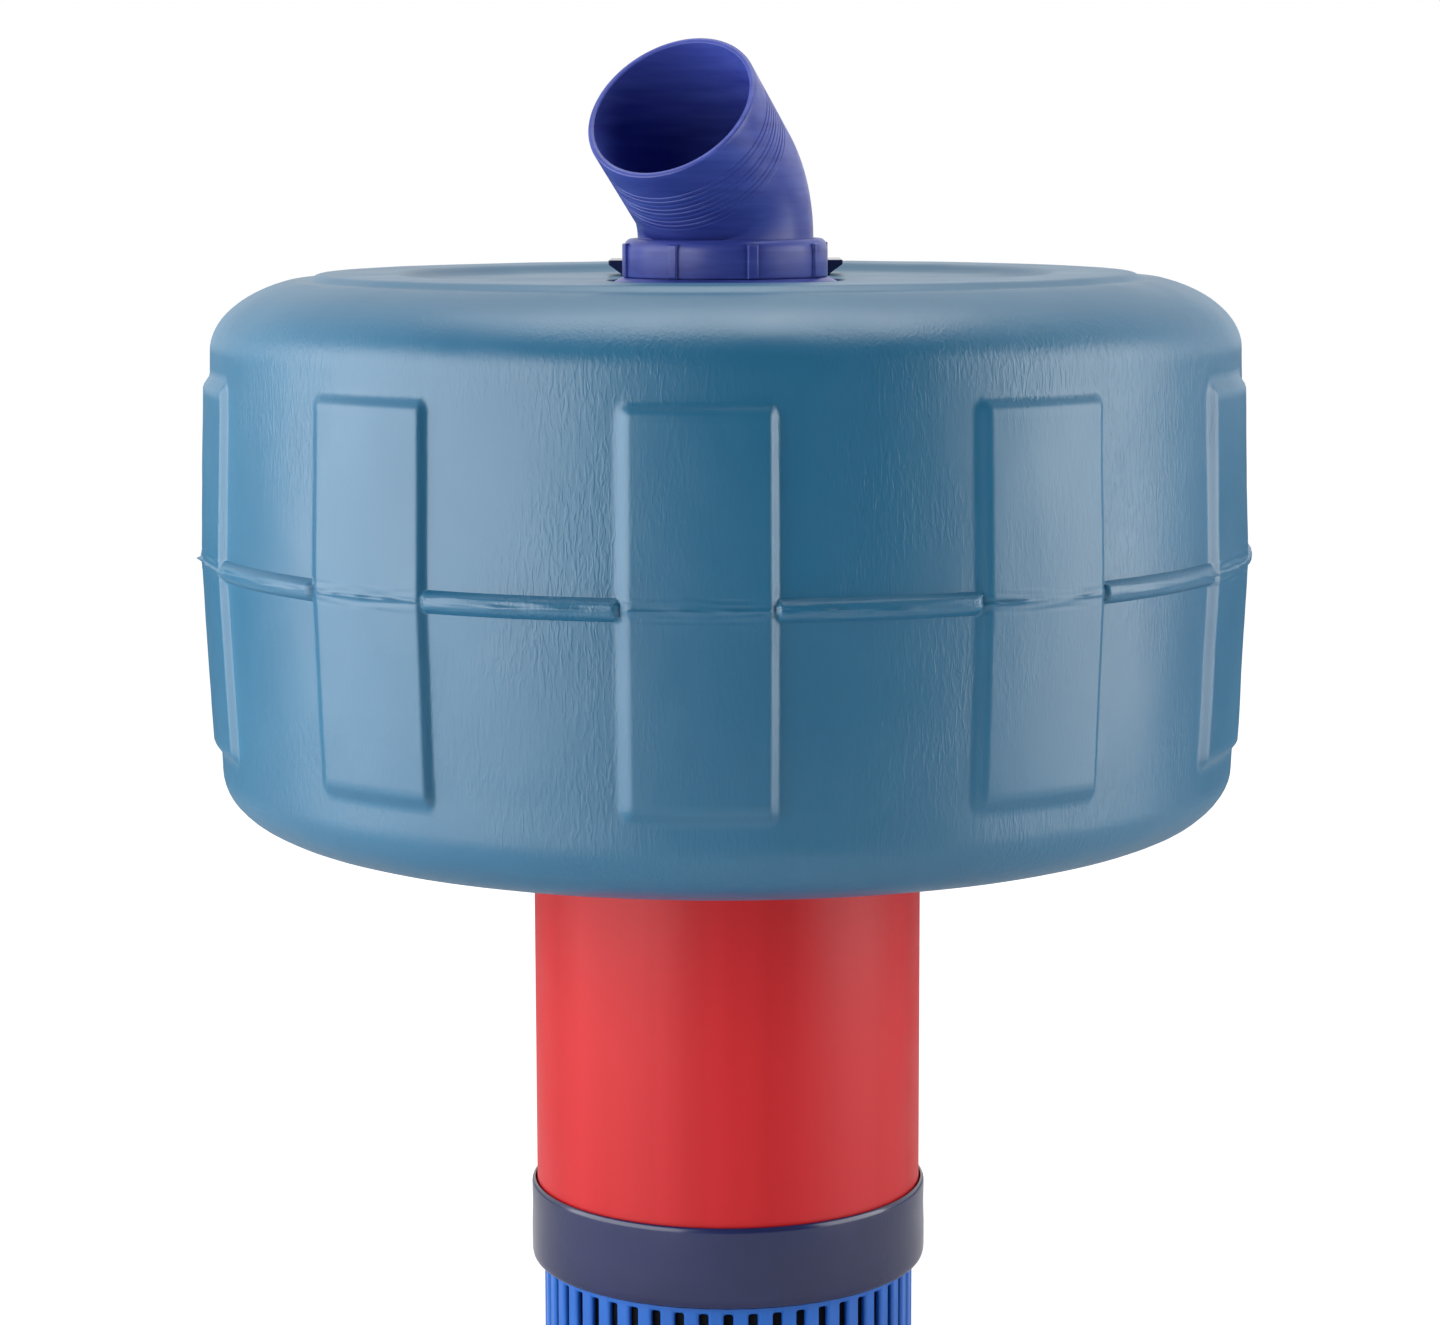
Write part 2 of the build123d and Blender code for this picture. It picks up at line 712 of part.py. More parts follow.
# Motor's head: closes the can, holds the upper bearing, and its fins centre it
bearing_hub_r = bearing_r + hub_wall
with BuildPart() as upper_bracket:
    with BuildSketch(Plane.XZ):
        with BuildLine():
            Polyline(
                (0, can_top + top_bracket),
                (motor_r, can_top + top_bracket),
                (motor_r, can_top),
                (can_bore_r - fit_gap, can_top),
                (can_bore_r - fit_gap, can_top - bracket_spigot),
                (bearing_hub_r, can_top - bracket_spigot),
                (bearing_hub_r, top_bearing_z - shaft_end),
                (bearing_r + bearing_gap, top_bearing_z - shaft_end),
                (bearing_r + bearing_gap, top_bearing_z + bearing_width),
                (bearing_r - bearing_race, top_bearing_z + bearing_width),
                (bearing_r - bearing_race, shaft_top + shaft_end_room),
                (0, shaft_top + shaft_end_room),
                close=True,
            )
        make_face()
    revolve(axis=Axis.Z)
    fin_reach = (motor_r + inner_r) / 2
    with BuildSketch(Plane.XY.offset(can_top)):
        with PolarLocations(fin_reach, fin_count):
            Rectangle(inner_r - motor_r + fin_overlap, fin_width)
        Circle(inner_r, mode=Mode.INTERSECT)
    extrude(amount=top_bracket)
upper_bracket.part.label = "upper_bracket"
export_step(upper_bracket.part, "parts/upper_bracket.step")

upper_seal_z = can_top - bracket_spigot - seal_side
upper_can_seal = ring(seal_outer_r - seal_side, seal_outer_r, upper_seal_z, seal_side)
upper_can_seal.part.label = "upper_can_seal"
export_step(upper_can_seal.part, "parts/upper_can_seal.step")

cap_z = can_top + top_bracket
with BuildPart() as motor_cap:
    with BuildSketch(Plane.XY.offset(cap_z)):
        Circle(cap_flange_r)
    extrude(amount=cap_flange)
    with BuildSketch(Plane.XY.offset(cap_z)):
        Circle(cap_r)
    extrude(amount=cap_height)
    chamfer(motor_cap.faces().sort_by(Axis.Z)[-1].edges(), cap_wall)
    with BuildSketch(Plane.XY.offset(cap_z)):
        Circle(cap_r - cap_wall)
    extrude(amount=cap_height - cap_wall, mode=Mode.SUBTRACT)
    with BuildSketch(Plane.XY.offset(cap_z)):
        with PolarLocations((cap_r + cap_flange_r) / 2, fin_count, start_angle=tie_turn):
            Circle(tie_rod_r / 2 + fit_gap)
    extrude(amount=cap_flange, mode=Mode.SUBTRACT)
motor_cap.part.label = "motor_cap"
export_step(motor_cap.part, "parts/motor_cap.step")

with BuildPart() as motor_cap_screws:
    with BuildSketch(Plane.XY.offset(cap_z)):
        with PolarLocations((cap_r + cap_flange_r) / 2, fin_count, start_angle=tie_turn):
            Circle(tie_rod_r / 2)
    extrude(amount=cap_flange)
    with BuildSketch(Plane.XY.offset(cap_z + cap_flange)):
        with PolarLocations((cap_r + cap_flange_r) / 2, fin_count, start_angle=tie_turn):
            Circle(tie_rod_r)
    extrude(amount=tie_rod_r * 0.8)
motor_cap_screws.part.label = "motor_cap_screws"
export_step(motor_cap_screws.part, "parts/motor_cap_screws.step")

# Head cover: closes the barrel's top under the float's deck
with BuildPart() as head_cover:
    with BuildSketch(Plane.XZ):
        with BuildLine():
            Polyline(
                (bore_r, deck_z - cover_plate - cover_boss),
                (cover_boss_r, deck_z - cover_plate - cover_boss),
                (cover_boss_r, barrel_top),
                (cover_spigot_in_r, barrel_top),
                (cover_spigot_in_r, barrel_top - cover_spigot),
                (inner_r, barrel_top - cover_spigot),
                (inner_r, barrel_top),
                (barrel_r, barrel_top),
                (barrel_r, deck_z),
                (nipple_tail_r + fit_gap, deck_z),
                (nipple_tail_r + fit_gap, deck_z + deck_thickness - flange_seat_depth - nipple_tail),
                (bore_r, deck_z + deck_thickness - flange_seat_depth - nipple_tail),
                close=True,
            )
        make_face()
    revolve(axis=Axis.Z)
    with BuildSketch(Plane.XY.offset(deck_z)):
        with PolarLocations(tie_circle_r, tie_count, start_angle=tie_turn):
            Circle(tie_nut_pocket_r)
    extrude(amount=-tie_nut_pocket, mode=Mode.SUBTRACT)
    with BuildSketch(Plane.XY.offset(deck_z)):
        with PolarLocations(tie_circle_r, tie_count, start_angle=tie_turn):
            Circle(tie_rod_r + fit_gap)
        with Locations((0, entry_hole_y)):
            Circle(entry_hole_r)
    extrude(amount=-cover_plate - cover_spigot, mode=Mode.SUBTRACT)
head_cover.part.label = "head_cover"
export_step(head_cover.part, "parts/head_cover.step")

head_seal_z = barrel_top - cover_spigot - seal_side
head_seal = ring(inner_r - seal_side, inner_r, head_seal_z, seal_side)
head_seal.part.label = "head_seal"
export_step(head_seal.part, "parts/head_seal.step")

# Tie rods: long studs through the water passage that clamp plate, barrel and cover
with BuildPart() as tie_rods:
    with BuildSketch(Plane.XY.offset(web_top)):
        with PolarLocations(tie_circle_r, tie_count, start_angle=tie_turn):
            Circle(tie_rod_r)
    extrude(amount=deck_z - tie_rod_drop - web_top)
tie_rods.part.label = "tie_rods"
export_step(tie_rods.part, "parts/tie_rods.step")

with BuildPart() as tie_nuts:
    for nut_z in (plate_top, deck_z - tie_nut_pocket):
        with BuildSketch(Plane.XY.offset(nut_z)):
            with PolarLocations(tie_circle_r, tie_count, start_angle=tie_turn):
                RegularPolygon(tie_nut_af / 2, 6, major_radius=False)
                Circle(tie_rod_r + bearing_gap, mode=Mode.SUBTRACT)
        extrude(amount=tie_nut_height)
tie_nuts.part.label = "tie_nuts"
export_step(tie_nuts.part, "parts/tie_nuts.step")

# Nipple: its tail screws into the head cover and its flange clamps the deck
flange_z = seat_z + gasket_thickness
cone_z = flange_z + nipple_flange_edge
neck_z = cone_z + nipple_cone
neck_top = neck_z + nipple_neck
seal_groove = 1.6
groove_r = (bore_r + nipple_neck_r) / 2
with BuildPart() as outlet_nipple:
    with BuildSketch(Plane.XZ):
        with BuildLine():
            Polyline(
                (bore_r, seat_z - nipple_tail),
                (nipple_tail_r, seat_z - nipple_tail),
                (nipple_tail_r, flange_z),
                (nipple_flange_r, flange_z),
                (nipple_flange_r, cone_z),
                (nut_rib_r, neck_z),
                (nipple_neck_r, neck_z),
                (nipple_neck_r, neck_top),
                (groove_r + seal_groove, neck_top),
                (groove_r + seal_groove, neck_top - seal_groove),
                (groove_r - seal_groove, neck_top - seal_groove),
                (groove_r - seal_groove, neck_top),
                (bore_r, neck_top),
                close=True,
            )
        make_face()
    revolve(axis=Axis.Z)
outlet_nipple.part.label = "outlet_nipple"
export_step(outlet_nipple.part, "parts/outlet_nipple.step")

deck_gasket = ring(nipple_tail_r + fit_gap, nipple_flange_r, seat_z, gasket_thickness)
deck_gasket.part.label = "deck_gasket"
export_step(deck_gasket.part, "parts/deck_gasket.step")

seal_in_r = groove_r - seal_groove + fit_gap
seal_out_r = groove_r + seal_groove - fit_gap
outlet_seal = ring(seal_in_r, seal_out_r, neck_top - seal_groove, seal_groove)
outlet_seal.part.label = "outlet_seal"
export_step(outlet_seal.part, "parts/outlet_seal.step")

# Union nut: ribbed for the hand, with a lip over the elbow's collar
elbow_z = neck_top + face_gap
collar_face_z = elbow_z + elbow_collar
nut_z = neck_z + running_gap
nut_top = nut_z + nut_height
lip_z = collar_face_z + running_gap
lip_in_r = elbow_pipe_r + running_gap + fit_gap
with BuildPart() as union_nut:
    with BuildSketch(Plane.XZ):
        with BuildLine():
            top_inner = (nut_bore_r, nut_top)
            barrel_edge = (nut_r, nut_top - nut_shoulder)
            Polyline(
                top_inner,
                (nut_bore_r + (nut_r - nut_bore_r) * nut_round[0], nut_top - nut_shoulder * nut_round[1]),
                barrel_edge,
            )
            Polyline(
                barrel_edge,
                (nut_r, nut_z),
                (nut_bore_r, nut_z),
                (nut_bore_r, lip_z),
                (lip_in_r, lip_z),
                (lip_in_r, lip_z + nut_lip),
                top_inner,
            )
        make_face()
    revolve(axis=Axis.Z)
    with BuildSketch(Plane.XY.offset(nut_z)):
        with PolarLocations(nut_r, nut_rib_count, start_angle=nut_rib_turn - 90):
            Rectangle((nut_rib_r - nut_r) * 2, nut_rib_width)
    extrude(amount=nut_height - nut_rib_drop)
    with BuildSketch(Plane.XY.offset(nut_z)):
        Circle(nut_rib_r)
    extrude(amount=nut_height, mode=Mode.INTERSECT)
union_nut.part.label = "union_nut"
export_step(union_nut.part, "parts/union_nut.step")

# Elbow: a collar, a short neck, a bend tighter than its own radius, and the hose spigot
up = Vector(0, 0, 1)
turn = math.radians(elbow_heading)
heading = Vector(-math.sin(turn), -math.cos(turn), 0)
tilt = math.radians(elbow_tilt)
bend_z = nut_top
bend_axis = Axis(heading * elbow_bend_r + up * bend_z, up.cross(heading))
spigot_dir = heading * math.sin(tilt) + up * math.cos(tilt)
spigot_side = heading * math.cos(tilt) - up * math.sin(tilt)
bend_end = heading * elbow_bend_r * (1 - math.cos(tilt)) + up * (bend_z + elbow_bend_r * math.sin(tilt))
mouth = bend_end + spigot_dir * elbow_straight
bend_plane = Plane(origin=up * bend_z, x_dir=heading, z_dir=up)
straight_plane = Plane(origin=bend_end, x_dir=spigot_side, z_dir=spigot_dir)
step_plane = Plane(origin=mouth, x_dir=spigot_side, z_dir=spigot_side.cross(spigot_dir))
with BuildPart() as outlet_elbow:
    with BuildSketch(Plane.XY.offset(elbow_z)):
        Circle(elbow_collar_r)
    extrude(amount=elbow_collar)
    for pipe_r, pipe_mode in ((elbow_pipe_r, Mode.ADD), (bore_r, Mode.SUBTRACT)):
        with BuildSketch(Plane.XY.offset(elbow_z)):
            Circle(pipe_r)
        extrude(amount=bend_z - elbow_z, mode=pipe_mode)
        with BuildSketch(bend_plane):
            Circle(pipe_r)
            with Locations((elbow_bend_r + elbow_pipe_r, 0)):
                Rectangle(elbow_pipe_r * 2, elbow_pipe_r * 4, mode=Mode.SUBTRACT)
        revolve(axis=bend_axis, revolution_arc=elbow_tilt, mode=pipe_mode)
        with BuildSketch(straight_plane):
            Circle(pipe_r)
        extrude(amount=elbow_straight, mode=pipe_mode)
    with BuildSketch(step_plane):
        with BuildLine():
            Polyline(
                (spigot_r, spigot_step),
                (spigot_r, -spigot_length),
                (elbow_pipe_r, -spigot_length - spigot_step),
                (elbow_pipe_r + spigot_step, -spigot_length - spigot_step),
                (elbow_pipe_r + spigot_step, spigot_step),
                close=True,
            )
        make_face()
    revolve(axis=Axis(mouth, spigot_dir), mode=Mode.SUBTRACT)
outlet_elbow.part.label = "outlet_elbow"
export_step(outlet_elbow.part, "parts/outlet_elbow.step")

# Cable entry behind the outlet: a plate with a block that carries the gland
entry_top = dish_z + entry_height
gland_z = entry_top + gland_axis_rise
block_front = entry_front + entry_depth - entry_block_depth
gland_face = entry_front + entry_depth
entry_screw_x = 40.0
entry_screw_r = 2.5
entry_middle = entry_front + entry_depth / 2
with BuildPart() as cable_entry:
    with BuildSketch(Plane.XZ.offset(-entry_front)):
        with BuildLine():
            Polyline(
                (-entry_half_width + entry_inset, dish_z),
                (entry_half_width - entry_inset, dish_z),
                (entry_half_width - entry_inset, entry_top - entry_lip - entry_inset / 2),
                (entry_half_width, entry_top - entry_lip / 2),
                (entry_half_width, entry_top),
                (-entry_half_width, entry_top),
                (-entry_half_width, entry_top - entry_lip / 2),
                (-entry_half_width + entry_inset, entry_top - entry_lip - entry_inset / 2),
                close=True,
            )
        make_face()
    extrude(amount=-entry_depth)
    with BuildSketch(Plane.XY.offset(entry_top)):
        with Locations((0, block_front + entry_block_depth / 2)):
            Rectangle(entry_block_width, entry_block_depth)
    extrude(amount=entry_block_height)
    upright = cable_entry.edges().filter_by(Axis.Z).group_by(Axis.Z)[-1]
    fillet(upright, entry_inset)
    with BuildSketch(Plane.XY.offset(dish_z)):
        with Locations((0, entry_middle)):
            Circle(entry_hole_r)
    extrude(amount=entry_height + gland_axis_rise, mode=Mode.SUBTRACT)
    with BuildSketch(Plane.XZ.offset(-gland_face)):
        with Locations((0, gland_z)):
            Circle(gland_thread_r + fit_gap)
    extrude(amount=gland_thread + fit_gap, mode=Mode.SUBTRACT)
    with BuildSketch(Plane.XZ.offset(-gland_face)):
        with Locations((0, gland_z)):
            Circle(gland_bore_r)
    extrude(amount=gland_face - entry_middle, mode=Mode.SUBTRACT)
    with BuildSketch(Plane.XY.offset(dish_z)):
        with Locations((-entry_screw_x, entry_middle), (entry_screw_x, entry_middle)):
            Circle(entry_screw_r + fit_gap)
    extrude(amount=entry_height, mode=Mode.SUBTRACT)
cable_entry.part.label = "cable_entry"
export_step(cable_entry.part, "parts/cable_entry.step")

with BuildPart() as cable_entry_screws:
    with BuildSketch(Plane.XY.offset(dish_z)):
        with Locations((-entry_screw_x, entry_middle), (entry_screw_x, entry_middle)):
            Circle(entry_screw_r)
    extrude(amount=entry_height)
    with BuildSketch(Plane.XY.offset(entry_top)):
        with Locations((-entry_screw_x, entry_middle), (entry_screw_x, entry_middle)):
            Circle(entry_screw_r * 2)
    extrude(amount=entry_screw_r)
cable_entry_screws.part.label = "cable_entry_screws"
export_step(cable_entry_screws.part, "parts/cable_entry_screws.step")

hex_end = gland_face + gland_hex
with BuildPart() as cable_gland:
    with BuildSketch(Plane.XZ.offset(-gland_face)):
        with Locations((0, gland_z)):
            RegularPolygon(gland_af / 2, 6, major_radius=False)
    extrude(amount=-gland_hex)
    with BuildSketch(Plane.XZ.offset(-gland_face)):
        with Locations((0, gland_z)):
            Circle(gland_thread_r)
    extrude(amount=gland_thread)
    with BuildSketch(Plane.XZ.offset(-hex_end)):
        with Locations((0, gland_z)):
            Circle(gland_thread_r)
    extrude(amount=-gland_thread)
    with BuildSketch(Plane.XZ.offset(-(hex_end + gland_thread))):
        with Locations((0, gland_z)):
            Circle(gland_bore_r)
    extrude(amount=gland_thread * 2 + gland_hex, mode=Mode.SUBTRACT)
cable_gland.part.label = "cable_gland"
export_step(cable_gland.part, "parts/cable_gland.step")

seal_length = 5.0
with BuildPart() as gland_seal:
    with BuildSketch(Plane.XZ.offset(-(hex_end + gland_thread))):
        with Locations((0, gland_z)):
            Circle(gland_thread_r)
            Circle(gland_bore_r, mode=Mode.SUBTRACT)
    extrude(amount=-seal_length)
gland_seal.part.label = "gland_seal"
export_step(gland_seal.part, "parts/gland_seal.step")

with BuildPart() as gland_nut:
    with BuildSketch(Plane.XZ.offset(-hex_end)):
        with Locations((0, gland_z)):
            RegularPolygon(gland_af / 2, 6, major_radius=False)
    extrude(amount=-gland_nut_length)
    fillet(gland_nut.faces().sort_by(Axis.Y)[-1].edges(), gland_bore_r / 2)
    with BuildSketch(Plane.XZ.offset(-hex_end)):
        with Locations((0, gland_z)):
            Circle(gland_thread_r + bearing_gap)
    extrude(amount=-(gland_thread + seal_length), mode=Mode.SUBTRACT)
    with BuildSketch(Plane.XZ.offset(-hex_end)):
        with Locations((0, gland_z)):
            Circle(gland_bore_r)
    extrude(amount=-gland_nut_length, mode=Mode.SUBTRACT)
gland_nut.part.label = "gland_nut"
export_step(gland_nut.part, "parts/gland_nut.step")
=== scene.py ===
import json
import math

import bmesh
import bpy
from mathutils import Matrix, Vector, noise


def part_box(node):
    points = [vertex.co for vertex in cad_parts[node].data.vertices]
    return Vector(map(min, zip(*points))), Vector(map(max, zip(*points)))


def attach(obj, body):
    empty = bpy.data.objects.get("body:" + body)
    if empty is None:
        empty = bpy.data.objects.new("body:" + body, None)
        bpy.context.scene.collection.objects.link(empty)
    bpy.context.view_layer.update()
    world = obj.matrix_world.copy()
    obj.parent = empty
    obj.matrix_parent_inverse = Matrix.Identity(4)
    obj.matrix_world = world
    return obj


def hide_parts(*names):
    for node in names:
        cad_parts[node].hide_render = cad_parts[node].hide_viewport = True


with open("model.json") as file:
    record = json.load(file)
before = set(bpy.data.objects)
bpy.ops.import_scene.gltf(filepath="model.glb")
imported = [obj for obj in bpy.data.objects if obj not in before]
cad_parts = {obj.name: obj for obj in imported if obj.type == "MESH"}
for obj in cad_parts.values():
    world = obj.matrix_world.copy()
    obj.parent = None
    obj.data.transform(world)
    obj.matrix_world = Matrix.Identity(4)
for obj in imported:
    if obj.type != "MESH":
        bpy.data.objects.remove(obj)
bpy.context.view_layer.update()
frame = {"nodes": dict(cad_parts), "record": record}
nodes = frame["nodes"]

MM = 0.001
UP = Vector((0, 0, 1))
PICTURE_WIDTH = 1440

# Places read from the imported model, in millimetres
float_box = [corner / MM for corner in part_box("float_shell")]
collar_box = [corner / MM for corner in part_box("lower_collar")]
basket_box = [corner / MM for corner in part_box("strainer_basket")]
barrel_box = [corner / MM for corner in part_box("barrel")]
nut_box = [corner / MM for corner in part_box("union_nut")]
elbow_box = [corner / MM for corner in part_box("outlet_elbow")]
nipple_box = [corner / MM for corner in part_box("outlet_nipple")]
entry_box = [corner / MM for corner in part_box("cable_entry")]
gland_box = [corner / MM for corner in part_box("cable_gland")]
gland_nut_box = [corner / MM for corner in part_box("gland_nut")]


# Camera: a long lens, a little above the float's top
def set_camera():
    focal_pixels = 3590.8
    away = 1563.6 * MM
    height = 595.6 * MM
    pitch = math.radians(7.97)
    roll = math.radians(0.155)
    data = bpy.data.cameras.new("camera")
    data.sensor_width = 36
    data.lens = focal_pixels / PICTURE_WIDTH * data.sensor_width
    data.shift_x = -6.64 / PICTURE_WIDTH
    data.clip_start = 0.05
    data.clip_end = 60
    camera = bpy.data.objects.new("camera", data)
    look = Matrix.Rotation(math.pi / 2 - pitch, 4, "X")
    camera.matrix_world = Matrix.Translation((0, -away, height)) @ look @ Matrix.Rotation(-roll, 4, "Z")
    bpy.context.scene.collection.objects.link(camera)
    bpy.context.scene.camera = camera


set_camera()


# Materials
class Finish:
    """One procedural material and the nodes that shape it."""

    def __init__(self, name, roughness, metallic=0.0, specular=0.5):
        self.material = bpy.data.materials.new(name)
        self.material.use_nodes = True
        self.tree = self.material.node_tree
        self.shader = self.tree.nodes["Principled BSDF"]
        self.shader.inputs["Roughness"].default_value = roughness
        self.shader.inputs["Metallic"].default_value = metallic
        self.shader.inputs["Specular IOR Level"].default_value = specular
        self.coords = self.tree.nodes.new("ShaderNodeTexCoord").outputs["Object"]
        self.height = None

    def link(self, start, end):
        self.tree.links.new(start, end)

    def placed(self, stretch, turn=(0, 0, 0)):
        mapping = self.tree.nodes.new("ShaderNodeMapping")
        mapping.inputs["Scale"].default_value = stretch
        mapping.inputs["Rotation"].default_value = turn
        self.link(self.coords, mapping.inputs["Vector"])
        return mapping.outputs["Vector"]

    def cloud(self, scale, detail=3.0, stretch=(1, 1, 1), warp=0.0, turn=(0, 0, 0)):
        texture = self.tree.nodes.new("ShaderNodeTexNoise")
        texture.inputs["Scale"].default_value = scale
        texture.inputs["Detail"].default_value = detail
        texture.inputs["Distortion"].default_value = warp
        self.link(self.placed(stretch, turn), texture.inputs["Vector"])
        return texture.outputs["Fac"]

    def cells(self, scale, stretch=(1, 1, 1)):
        texture = self.tree.nodes.new("ShaderNodeTexVoronoi")
        texture.feature = "SMOOTH_F1"
        texture.inputs["Scale"].default_value = scale
        self.link(self.placed(stretch), texture.inputs["Vector"])
        return texture.outputs["Distance"]

    def ranged(self, value, low, high, to_low=0.0, to_high=1.0):
        node = self.tree.nodes.new("ShaderNodeMapRange")
        node.inputs["From Min"].default_value = low
        node.inputs["From Max"].default_value = high
        node.inputs["To Min"].default_value = to_low
        node.inputs["To Max"].default_value = to_high
        self.link(value, node.inputs["Value"])
        return node.outputs["Result"]

    def times(self, one, other):
        node = self.tree.nodes.new("ShaderNodeMath")
        node.operation = "MULTIPLY"
        for socket, value in zip(node.inputs, (one, other)):
            if isinstance(value, float):
                socket.default_value = value
            else:
                self.link(value, socket)
        return node.outputs["Value"]

    def attribute(self, name):
        node = self.tree.nodes.new("ShaderNodeAttribute")
        node.attribute_name = name
        return node.outputs["Fac"]

    def position(self, axis):
        node = self.tree.nodes.new("ShaderNodeSeparateXYZ")
        self.link(self.coords, node.inputs["Vector"])
        return node.outputs[axis]

    def tones(self, value, dark, light):
        node = self.tree.nodes.new("ShaderNodeMix")
        node.data_type = "RGBA"
        node.inputs[6].default_value = (*dark, 1)
        node.inputs[7].default_value = (*light, 1)
        self.link(value, node.inputs[0])
        return node.outputs[2]

    def over(self, value, under, colour):
        node = self.tree.nodes.new("ShaderNodeMix")
        node.data_type = "RGBA"
        self.link(under, node.inputs[6])
        node.inputs[7].default_value = (*colour, 1)
        self.link(value, node.inputs[0])
        return node.outputs[2]

    def colour(self, socket):
        self.link(socket, self.shader.inputs["Base Color"])

    def roughness(self, socket, low, high):
        self.link(self.ranged(socket, 0.3, 0.7, low, high), self.shader.inputs["Roughness"])

    def bump(self, value, depth_mm, strength=1.0):
        node = self.tree.nodes.new("ShaderNodeBump")
        node.inputs["Distance"].default_value = depth_mm * MM
        if isinstance(strength, float):
            node.inputs["Strength"].default_value = strength
        else:
            self.link(strength, node.inputs["Strength"])
        self.link(value, node.inputs["Height"])
        if self.height:
            self.link(self.height, node.inputs["Normal"])
        self.height = node.outputs["Normal"]
        self.link(self.height, self.shader.inputs["Normal"])


def srgb(red, green, blue):
    """Linear colour of an sRGB one given as 0 to 255."""
    out = []
    for channel in (red, green, blue):
        level = channel / 255
        out.append(level / 12.92 if level <= 0.04045 else ((level + 0.055) / 1.055) ** 2.4)
    return tuple(out)


def float_skin():
    """Blow-moulded polyethylene: cloudy teal with fine upright wrinkles, smoother on the pads."""
    finish = Finish("float_skin", 0.38, specular=0.9)
    clouds = finish.cloud(7, 4)
    base = finish.tones(finish.ranged(clouds, 0.3, 0.7), srgb(20, 97, 134), srgb(28, 107, 144))
    scuffs = finish.ranged(finish.cloud(55, 6, (1, 1, 0.5)), 0.62, 0.82, 0.0, 0.16)
    finish.colour(finish.over(scuffs, base, srgb(60, 132, 160)))
    finish.roughness(finish.cloud(30, 5, (1, 1, 0.6)), 0.36, 0.42)
    skin = finish.attribute("skin")
    patches = finish.ranged(finish.cloud(15, 3), 0.38, 0.62, 0.12, 1.0)
    wrinkles = finish.ranged(finish.cloud(620, 2.0, (1, 1, 0.24), 0.8), 0.44, 0.66)
    finish.bump(wrinkles, 0.085, finish.times(skin, patches))
    finish.bump(finish.cloud(1800, 2), 0.012, 0.7)
    finish.bump(finish.cloud(24, 3), 0.45, 0.5)
    return finish.material


def moulded(name, dark, light, rough, grain=900, depth=0.02, sink=0.25, specular=0.5, coat=0.0):
    """Injection-moulded plastic: a faint cloud in the colour, uneven gloss and a fine skin."""
    finish = Finish(name, rough, specular=specular)
    finish.colour(finish.tones(finish.ranged(finish.cloud(14, 5), 0.3, 0.7), dark, light))
    finish.roughness(finish.cloud(45, 6), rough - 0.05, rough + 0.07)
    finish.bump(finish.cloud(grain, 3), depth, 0.8)
    finish.bump(finish.cloud(26, 2), sink, 0.6)
    finish.shader.inputs["Coat Weight"].default_value = coat
    finish.shader.inputs["Coat Roughness"].default_value = 0.15
    return finish.material


def outlet_plastic():
    """Blue-violet plastic with flow streaks that run round the pump axis."""
    finish = Finish("outlet_plastic", 0.36)
    streaks = finish.cloud(60, 5, (0.4, 0.4, 4), 0.4)
    finish.colour(finish.tones(finish.ranged(streaks, 0.25, 0.75), srgb(50, 62, 150), srgb(74, 90, 178)))
    finish.roughness(finish.cloud(80, 5), 0.30, 0.44)
    finish.bump(streaks, 0.05, 0.6)
    finish.bump(finish.cloud(1100, 2), 0.015, 0.8)
    return finish.material


def barrel_paint():
    """Smooth red enamel with faint upright streaks from the tube beneath."""
    finish = Finish("barrel_paint", 0.40, specular=0.35)
    streaks = finish.cloud(40, 3, (1, 1, 0.02))
    finish.colour(finish.tones(finish.ranged(streaks, 0.3, 0.7), srgb(196, 26, 32), srgb(208, 36, 42)))
    finish.roughness(finish.cloud(30, 4), 0.36, 0.46)
    finish.bump(finish.cloud(700, 2), 0.012, 0.8)
    finish.bump(streaks, 0.08, 0.5)
    return finish.material


def turned_metal(name, colour, rough, metallic=1.0, lines=900):
    """Turned metal with fine rings round the pump axis."""
    finish = Finish(name, rough, metallic)
    rings = finish.cloud(lines, 3, (0.05, 0.05, 1))
    lighter = tuple(min(1.0, channel * 1.15) for channel in colour)
    finish.colour(finish.tones(finish.ranged(finish.cloud(40, 5), 0.3, 0.7), colour, lighter))
    finish.roughness(rings, rough - 0.06, rough + 0.1)
    finish.bump(rings, 0.01, 0.7)
    return finish.material


def cast_metal(name, dark, light, rough=0.6):
    """Cast metal with a grainy skin."""
    finish = Finish(name, rough, 0.6)
    finish.colour(finish.tones(finish.ranged(finish.cloud(70, 6), 0.35, 0.65), dark, light))
    finish.roughness(finish.cloud(120, 4), rough - 0.08, rough + 0.1)
    finish.bump(finish.cells(700), 0.12, 0.6)
    finish.bump(finish.cloud(500, 4), 0.08, 0.6)
    return finish.material


def wound_copper():
    """Varnished wire wound in many turns."""
    finish = Finish("wound_copper", 0.3, 0.8)
    wire = finish.cloud(1400, 2, (0.3, 0.3, 1))
    finish.colour(finish.tones(finish.ranged(wire, 0.35, 0.65), srgb(120, 56, 26), srgb(206, 118, 62)))
    finish.roughness(wire, 0.25, 0.4)
    finish.bump(wire, 0.4, 0.8)
    return finish.material


def laminated_steel():
    """Stacked core plates, seen as fine level lines."""
    finish = Finish("laminated_steel", 0.45, 0.9)
    plates = finish.cloud(1500, 1, (0.01, 0.01, 1))
    finish.colour(finish.tones(finish.ranged(plates, 0.4, 0.6), srgb(70, 70, 74), srgb(130, 130, 134)))
    finish.roughness(finish.cloud(90, 4), 0.38, 0.52)
    finish.bump(plates, 0.05, 0.8)
    return finish.material


